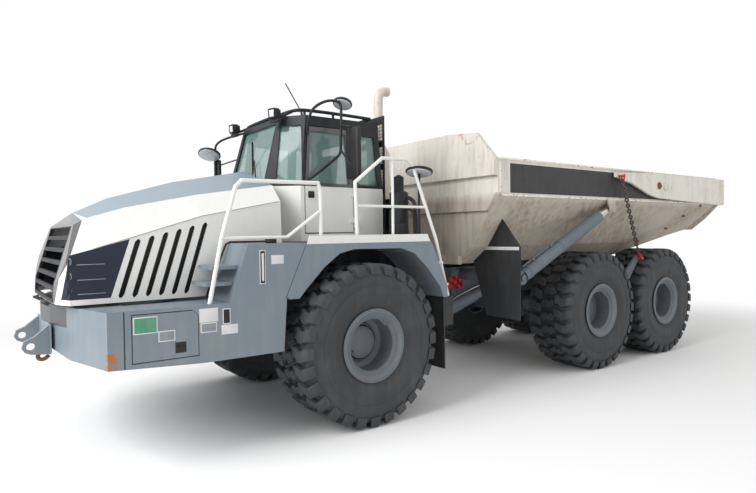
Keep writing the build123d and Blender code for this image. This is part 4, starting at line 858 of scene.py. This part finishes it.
wiperArm = [(glassX(z), y, z) for y, z in ((0.34, 2.79), (0.22, 2.95), (0.1, 3.12))]
wiper = merge([bentPipe(wiperArm, 0.009, smooth=True),
               slab((glassX(3.12) - 0.012, 0.05, 2.92), (glassX(3.12) + 0.012, 0.062, 3.36), 0.004),
               disc((glassX(2.79), 0.34, 2.79), (1, 0, 0.2), 0.022, 0.04)])
handOver(wiper, "wiper", "front", "blackPlastic")
grip = [(x, y, 2.66) for x, y in ((2.99, 0.87), (3.0, 0.9), (3.05, 0.9), (3.055, 0.87))]
doorHandle = merge([slab((2.98, 0.86, 2.62), (3.06, 0.876, 2.7), 0.006), bentPipe(grip, 0.009, smooth=True)])
handOver(doorHandle, "door_handle", "cab_door", "blackPlastic")
screenLook = {"low": (0.17, 2.32), "high": (0.85, 3.66), "place": 1.913, "wires": (16, 32), "wire": 0.006}
bpy.ops.mesh.primitive_grid_add(x_subdivisions=screenLook["wires"][0], y_subdivisions=screenLook["wires"][1], size=1)
screen = bpy.context.object
screen.scale = (screenLook["high"][0] - screenLook["low"][0], screenLook["high"][1] - screenLook["low"][1], 1)
setDown(screen)
screen.rotation_euler = (radians(90), 0, radians(90))
screen.location = (screenLook["place"], (screenLook["low"][0] + screenLook["high"][0]) / 2,
                   (screenLook["low"][1] + screenLook["high"][1]) / 2)
setDown(screen)
wires = screen.modifiers.new("wires", "WIREFRAME")
wires.thickness = screenLook["wire"]
wires.use_replace = True
bpy.ops.object.modifier_apply(modifier=wires.name)
handOver(screen, "cab_screen", "front", "blackPaint")
stackLook = {"place": (1.7, 0.45), "radius": 0.062}
x, y = stackLook["place"]
stackRun = ((0, 3.41), (0, 3.8), (0, 3.98), (0.01, 4.1), (0.08, 4.16), (0.17, 4.16))
stack = bentPipe([(x - back, y, z) for back, z in stackRun], stackLook["radius"] * 1.02, smooth=True, sides=8)
bpy.ops.mesh.primitive_cylinder_add(vertices=40, radius=0.15, depth=1.06, location=(x, y, 2.77))
drum = bpy.context.object
setDown(drum)
openMesh(drum, lambda centre, normal: normal.z > 0.9)
bpy.ops.mesh.inset(thickness=0.02, depth=0.03)
bpy.ops.mesh.extrude_region_move(TRANSFORM_OT_translate={"value": (0, 0, 0.09)})
bpy.ops.transform.resize(value=(0.62, 0.62, 1), center_override=(x, y, 3.4))
closeMesh()
roundEdges(drum, 0.01)
clamp = disc((x, y, 3.44), (0, 0, 1), 0.075, 0.04, 0.006)
handOver(merge([stack, drum, clamp]), "exhaust_stack", "front", "stackSteel", standsFor=("exhaust",))
intakeLook = {"place": (1.87, 1.1), "radius": 0.12, "low": 2.08, "high": 2.7}
x, y = intakeLook["place"]
low, high = intakeLook["low"], intakeLook["high"]
bpy.ops.mesh.primitive_cylinder_add(vertices=40, radius=intakeLook["radius"], depth=high - low,
                                    location=(x, y, (low + high) / 2))
canister = bpy.context.object
setDown(canister)
openMesh(canister, lambda centre, normal: normal.z > 0.9)
bpy.ops.mesh.inset(thickness=0.055, depth=0.03)
bpy.ops.mesh.extrude_region_move(TRANSFORM_OT_translate={"value": (0, 0, 0.1)})
bpy.ops.mesh.inset(thickness=-0.075, depth=0.0)
bpy.ops.mesh.extrude_region_move(TRANSFORM_OT_translate={"value": (0, 0, 0.07)})
bpy.ops.mesh.inset(thickness=0.05, depth=0.03)
closeMesh()
roundEdges(canister, 0.006)
bands = [disc((x, y, z), (0, 0, 1), intakeLook["radius"] + 0.006, 0.03, 0.003, 40) for z in (2.2, 2.58)]
ductRun = ((0.08, 2.48), (0.13, 2.48), (0.155, 2.44), (0.155, 2.3), (0.155, 2.08))
ducts = [bentPipe([(x, y - inward, z) for inward, z in ductRun], 0.038, smooth=True, sides=6),
         bentPipe([(1.79, 1.34, 2.08), (1.79, 1.34, 2.5), (1.79, 1.28, 2.62), (1.83, 1.2, 2.64)], 0.024, smooth=True),
         bentPipe([(1.84, 1.38, 2.08), (1.84, 1.38, 2.4), (1.85, 1.3, 2.5), (1.86, 1.2, 2.5)], 0.02, smooth=True)]
box = slab((1.96, 1.2, 2.08), (2.1, 1.36, 2.3), 0.012, 3)
handOver(merge([canister, *bands, *ducts, box]), "air_intake", "front", "blackPlastic")
print("cab dressed")

# Dump body: lips on the rails, clips on the folded edge, and the bolted flap strip
bodyLook = {"lips": (((-5.8, 1.585, 3.168), (0.5, 1.613, 3.196)), ((-5.6, 1.58, 2.672), (0.53, 1.612, 2.7)),
                     ((0.495, 1.585, 2.69), (0.53, 1.612, 3.19)))}
for side, sign in sides.items():
    lips = [slab((x0, sign * y0, z0), (x1, sign * y1, z1), 0.006) for (x0, y0, z0), (x1, y1, z1) in bodyLook["lips"]]
    handOver(merge(lips), f"rail_lips_{side}", "dump_body", "creamEdge")
clips = []
for x, y, z in ((-3.86, 1.07, 1.976), (-4.555, 1.24, 2.211), (-4.92, 1.4, 2.446), (-5.29, 1.54, 2.646)):
    clips.append(slab((x - 0.03, y + 0.0, z - 0.02), (x + 0.03, y + 0.03, z + 0.02), 0.004))
clips = merge(clips)
handPair(clips, "fold_clips", "dump_body", "rustySteel")
strip = slab((0.2, 0.96, 1.925), (0.216, 1.655, 1.972), 0.005)
boltHeads = [disc((0.214, 1.0 + i * 0.15, 1.948), (1, 0, 0), 0.013, 0.016, 0.002, 6) for i in range(5)]
strip = merge([strip, *boltHeads])
handPair(strip, "flap_strip", "dump_body", "plateWhite")
print("dump body dressed")

# Tailgate arms: pivot bolt, end flange bolts and the red shackles of the chains
for side, sign in sides.items():
    outer = 1.677
    bolt = merge([disc((-3.5, sign * (outer + 0.006), 2.956), (0, sign, 0), 0.062, 0.02, 0.004, 40),
                  disc((-3.5, sign * (outer + 0.02), 2.956), (0, sign, 0), 0.036, 0.03, 0.004, 6)])
    handOver(bolt, f"arm_bolt_{side}", "tailgate", "rustySteel")
    flange = [slab((-5.99, sign * (outer - 0.01), 2.67), (-5.97, sign * (outer + 0.02), 3.17), 0.003)]
    for z in (2.72, 2.8, 2.88, 2.96, 3.04, 3.12):
        flange.append(disc((-5.95, sign * (outer + 0.002), z), (0, sign, 0), 0.014, 0.02, 0.002, 6))
    handOver(merge(flange), f"arm_flange_{side}", "tailgate", "creamEdge")

chainLook = {"links": 28, "bar": 0.0125, "radius": 0.024}
for side, sign in sides.items():
    foot = Vector((-3.063, sign * 1.56, 1.7))
    tip = Vector((-2.235, sign * 1.72, 3.063))
    run = tip - foot
    pitch = (run.length - 0.08) / chainLook["links"]
    links = []
    for i in range(chainLook["links"]):
        bpy.ops.mesh.primitive_torus_add(major_segments=14, minor_segments=8, major_radius=chainLook["radius"],
                                         minor_radius=chainLook["bar"])
        link = bpy.context.object
        link.scale = (pitch * 0.5 / chainLook["radius"] * 1.12, 1, 1)
        setDown(link)
        link.rotation_euler = (radians(90) * (i % 2) + radians(20), 0, 0)
        setDown(link)
        link.rotation_euler = run.to_track_quat("X", "Z").to_euler()
        link.location = foot + run.normalized() * (0.04 + pitch * (i + 0.5))
        setDown(link)
        links.append(link)
    handOver(merge(links), f"chain_links_{side}", f"chain_{side}", "castIron", standsFor=(f"chain_{side}",))
    shackles = []
    for end, away in ((tip, -1), (foot, 1)):
        way = run.normalized() * away
        bow = bentPipe([end + Vector((0, -0.045, 0)), end + Vector((0, -0.045, 0)) + way * 0.03,
                        end + Vector((0, -0.03, 0)) + way * 0.075, end + Vector((0, 0.03, 0)) + way * 0.075,
                        end + Vector((0, 0.045, 0)) + way * 0.03, end + Vector((0, 0.045, 0))], 0.013, smooth=True)
        pin = disc(end, (0, 1, 0), 0.02, 0.125, 0.003, 20)
        shackles += [bow, pin, disc(end + Vector((0, 0.05, 0)), (0, 1, 0), 0.03, 0.02, 0.003, 6)]
    handOver(merge(shackles), f"shackles_{side}", f"chain_{side}", "redPaint")
print("tailgate and chains dressed")

# Hoists and steering cylinders: pipes along the barrels, clips, gland rings, and red couplings on the rear frame
hoistFoot, hoistTop = Vector((0.08, 1.565, 1.535)), Vector((-2.117, 1.565, 2.545))
hoistWay = (hoistTop - hoistFoot).normalized()
up = Vector((-hoistWay.z, 0, hoistWay.x)) * -1
steerRear, steerFront = Vector((-0.4, 0.62, 1.33)), Vector((1.396, 0.62, 0.82))
steerWay = (steerFront - steerRear).normalized()
steerUp = Vector((-steerWay.z, 0, steerWay.x))
for side, sign in sides.items():
    flip = Vector((1, sign, 1))
    start, lift = hoistFoot * flip, up * 0.118
    pipeLine = bentPipe([start + hoistWay * far + lift for far in (0.1, 0.3, 0.95)], 0.012)
    rings = [disc(start + hoistWay * far, hoistWay, 0.104, 0.05, 0.008, 40) for far in (0.18, 1.0)]
    clips = [slab((-0.02, -0.03, -0.012), (0.02, 0.03, 0.03), 0.003) for far in (0.35, 0.8)]
    for clip, far in zip(clips, (0.35, 0.8)):
        clip.rotation_euler = hoistWay.to_track_quat("X", "Z").to_euler()
        clip.location = start + hoistWay * far + lift * 0.9
        setDown(clip)
    handOver(merge([pipeLine, *rings, *clips]), f"hoist_fittings_{side}", f"hoist_barrel_{side}", "runningGear")
    start = steerRear * flip
    lift = steerUp * 0.1
    pipeRun = ((0.1, 0.8), (0.2, 1.15), (0.9, 1.15), (0.98, 0.7))
    pipes = [bentPipe([start + steerWay * far + lift * share for far, share in pipeRun], 0.011, smooth=True),
             disc(start + steerWay * 1.02, steerWay, 0.086, 0.05, 0.008, 40),
             disc(start + steerWay * 0.16, steerWay, 0.083, 0.04, 0.008, 40)]
    handOver(merge(pipes), f"steer_fittings_{side}", f"steer_barrel_{side}", "bareSteel")
couplings = []
for x, z in ((0.38, 1.45), (0.28, 1.49), (0.31, 1.4), (0.2, 1.44), (0.13, 1.38), (0.22, 1.34)):
    couplings.append(disc((x, 0.47, z), (0.45, 0.8, 0.3), 0.026, 0.13, 0.008, 6))
couplings.append(slab((0.1, 0.425, 1.32), (0.4, 0.44, 1.5), 0.006))
handOver(merge(couplings), "hose_couplings", "rear", "redPaint")
print("hoists and steering dressed")
